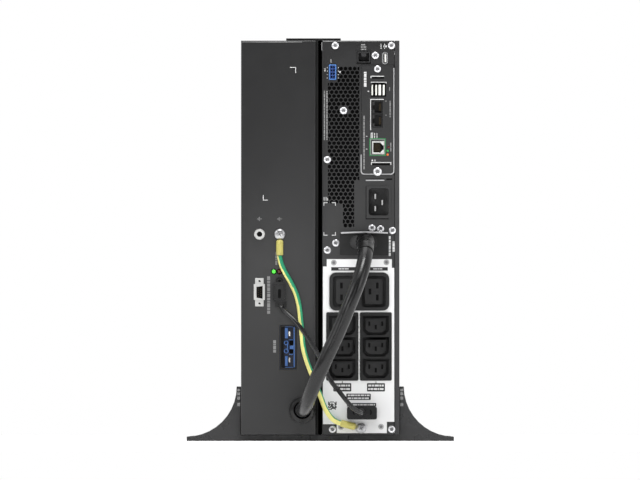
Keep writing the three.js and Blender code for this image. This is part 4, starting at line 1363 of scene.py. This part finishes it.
PLAIN_NODES = {
    "cable_grommet": ("boot", 0.5), "monitor_port": ("port_metal", 0.25), "ground_post": ("port_metal", 0.15),
    "status_led_green": ("green_lens", 0), "status_led_red": ("red_lens", 0),
    "ups_front_bezel": ("bezel", 0.6), "battery_front_bezel": ("bezel", 0.6), "display_panel": ("bezel", 0.5),
}
INNER_NODES = {
    "ups_main_board": "board", "heat_sink": "aluminium", "bus_capacitor": "capacitor",
    "fan_frame_1": "plastic", "fan_frame_2": "plastic", "fan_rotor_1": "plastic", "fan_rotor_2": "plastic",
    "battery_cell_pack": "cell_wrap", "battery_management_board": "board",
}


def make_plain_nodes():
    for node, (material, width) in PLAIN_NODES.items():
        refined(node, material, width)
    for place in ("rear", "front"):
        for part in ("left", "right", "extension"):
            refined(f"foot_{place}_{part}", "stand", 0.6, segments=3)
    for name in ("power", "escape", "ok", "up", "down"):
        refined(f"{name}_button", "button", 0.4)
    for node, material in INNER_NODES.items():
        NODES[node].data.materials.clear()
        NODES[node].data.materials.append(LOOKS[material])


FOOT_RIBS = ((54.6, 57.2), (50.3, 53.5), (45.4, 48.8), (38.2, 41.8))


def make_foot_details():
    """Raised ribs near the top of each arm, in a light grey that paints their highlights, and dark gaskets in
    the seams of the base strips.
    """
    for place in ("rear", "front"):
        make_foot_ribs(f"foot_{place}_left", span("battery_base_tray")[0].x, -1)
        make_foot_ribs(f"foot_{place}_right", span("ups_top_cover")[1].x, 1)
        low, high = span(f"foot_{place}_extension")
        gaskets = []
        for x in (low.x, high.x):
            gaskets.append(((x - 0.35, x + 0.35), (low.y + 1, high.y - 1), (0.2, high.z - 0.2)))
        add_boxes(f"foot_{place}_gaskets", gaskets, "plastic", "dark")


def make_foot_ribs(node, side_x, way):
    """Ribs across an arm, beside the casing at side_x; way is the direction that the foot points."""
    y = (rear_of(node) - 0.3, rear_of(node) + 1)
    x = sorted((side_x + way * 0.9, side_x + way * 4.2))
    ribs = [(x, y, z) for z in FOOT_RIBS]
    bevel(add_boxes(f"{node}_ribs", ribs, "stand", "rib_highlight", BODY_OF[node]), 0.25)


# ------------------------------------------------------------------ battery ports


def make_battery_ports():
    make_lamp_rings()
    make_dc_socket()
    make_monitor_port()
    make_post_core()
    make_receptacle_edge()


def make_lamp_rings():
    """A dark rim round each status lamp."""
    bm = bmesh.new()
    for node in ("status_led_green", "status_led_red"):
        x, z = middle_of(node)
        add_turned(bm, x, z, [(2.2, out(2.2)), (3.2, out(0.5)), (3.2, out(0)), (2.2, out(0))], 28)
    add_piece("status_lamp_rims", bm, "plastic", "dark")


DC_BLOCKS = (
    ((-38.7, -35.5), (112.6, 124)), ((-38.5, -35.7), (82.4, 93.2)), ((-36.4, -35.3), (98.7, 107.6)),
    ((-29.3, -26.9), (80.8, 125.2)), ((-33.5, -28.6), (100.8, 104.6)), ((-34.3, -30), (110.6, 111.4)),
    ((-34.3, -30), (94.6, 95.5)), ((-38.7, -29.4), (124.9, 125.8)), ((-38.7, -29.4), (80.4, 81.2)),
)


def make_dc_socket():
    """Blue insulators round the dark cavities of the power socket, and a bright contact at each end; the
    darker blue back wall and the dark discs in the round holes are painted shade.
    """
    refined("dc_socket", "outlet_black", 0.3)
    y = rear_of("dc_socket")
    bm = bmesh.new()
    for x, z in DC_BLOCKS:
        add_box(bm, x, (y + 0.6, y + 4.4), z)
    for z in (107.6, 98.7):
        add_turned(bm, -37.3, z, flat_ring(1.6, 2.6, y + 0.7, y + 4.4), 20)
    bevel(add_piece("dc_socket_insert", bm, "blue_plastic", "blue_light"), 0.25)
    back_shade = ((-39.6, -27), (y + 4.4, y + 5), (80.4, 125.8))
    # the back wall in a darker copy of the blue: painted shade
    add_boxes("dc_socket_back_shade", [back_shade], "blue_plastic", "shaded_blue")
    # dark discs in the round holes: painted shade
    bm = bmesh.new()
    for z in (107.7, 98.5):
        add_turned(bm, -31.5, z, flat_ring(0, 2.6, y + 3.6, y + 4.3), 20)
    add_piece("dc_socket_holes", bm, "plastic", "dark")
    contacts = [((-34.6, -33), (y + 1.5, y + 4.3), z) for z in ((115.1, 120), (86.4, 91.3))]
    add_boxes("dc_socket_contacts", contacts, "zinc", "pin_metal")


def make_monitor_port():
    """The dark insert, the pins and the two screw holes of the service port; the screw holes are flat dark
    discs, painted shade.
    """
    face = rear_of("monitor_port")
    bm = bmesh.new()
    add_prism(bm, [(-69.8, 157.1), (-69.8, 168.9), (-63.3, 169.9), (-63.3, 156.1)], (face + 1.2, face + 5))
    for z in (175.4, 150.9):
        add_prism(bm, disc(-66.8, z, 1.05, 16), (out(1.56), out(1.4)))
        add_prism(bm, disc(-65.9, z - 0.5, 0.7, 16), (out(1.56), out(1.4)))
    add_piece("monitor_port_insert", bm, "plastic", "dark")
    pin = [(0, face + 0.9), (0.45, face + 1), (0.45, face + 2), (0, face + 2)]
    bm = bmesh.new()
    for x, count in ((-67.9, 5), (-65.2, 4)):
        for i in range(count):
            add_turned(bm, x, 163 + (i - (count - 1) / 2) * 2.4, pin, 10)
    add_piece("monitor_port_pins", bm, "zinc", "dim_contact")


def make_post_core():
    """The threaded hole of the spare ground post, drawn as a flat dark disc: painted shade."""
    x, z = middle_of("ground_post")
    face = rear_of("ground_post")
    bm = bmesh.new()
    add_turned(bm, x, z, flat_ring(0, 2.9, face - 0.05, face + 0.6), 24)
    add_piece("ground_post_hole", bm, "plastic", "dark")


def make_receptacle_edge():
    """A light grey strip on the front edge of the lip over the battery plug."""
    low, high = span("dc_receptacle")
    steps = 16
    top, bottom = [], []
    for i in range(steps + 1):
        share = i / steps
        x = low.x + 1 + (high.x - low.x - 1.1) * share
        z = high.z - 2.35 + 3.2 * share * (1 - share)
        top.append((x, z + 1.5))
        bottom.append((x, z - 0.2))
    y = (low.y - 0.15, low.y + 0.6)
    bevel(add_plates("receptacle_lip_edge", [bottom + top[::-1]], y, "zinc", "bright_edge"), 0.2)


# ------------------------------------------------------------------ front


def make_filters():
    """The foam dust filters behind the slots of the two front bezels."""
    for node, heights in (
        ("ups_front_bezel", ((14, 182), (298, 432))), ("battery_front_bezel", ((14, 432),)),
    ):
        low, high = span(node)
        boxes = [((low.x + 3.2, high.x - 3.2), (high.y - 12, high.y - 6), z) for z in heights]
        add_boxes(f"{node}_filter", boxes, slot_of(node), "foam", BODY_OF[node])


def make_front():
    """The display window, four bars of readings on it and a status bar."""
    face = span("display_panel")[1].y
    window = rounded((22, 66.4), (236, 276), 2.5)
    y = (face - 0.4, face + 0.35)
    bevel(add_plates("display_window", [window], y, "bezel", "screen", "display"), 0.3)
    bars = []
    for row, length in enumerate((30, 22, 26, 14)):
        z = 268 - row * 8
        bars.append(((60 - length, 60), (face + 0.3, face + 0.42), (z, z + 2)))
    add_boxes("display_bars", bars, "white_plate", "ink", "display")
    status = rounded((30, 58.4), (281, 283.6), 1.2)
    add_plates("status_bar", [status], (face - 0.3, face + 0.3), "green_lens", "green_lens", "display")


make_materials()
add_camera()
make_cords()
add_stage()
make_cases()
make_sockets()
make_card()
make_plain_nodes()
make_screws()
make_marks()
make_battery_ports()
make_foot_details()
make_filters()
make_front()
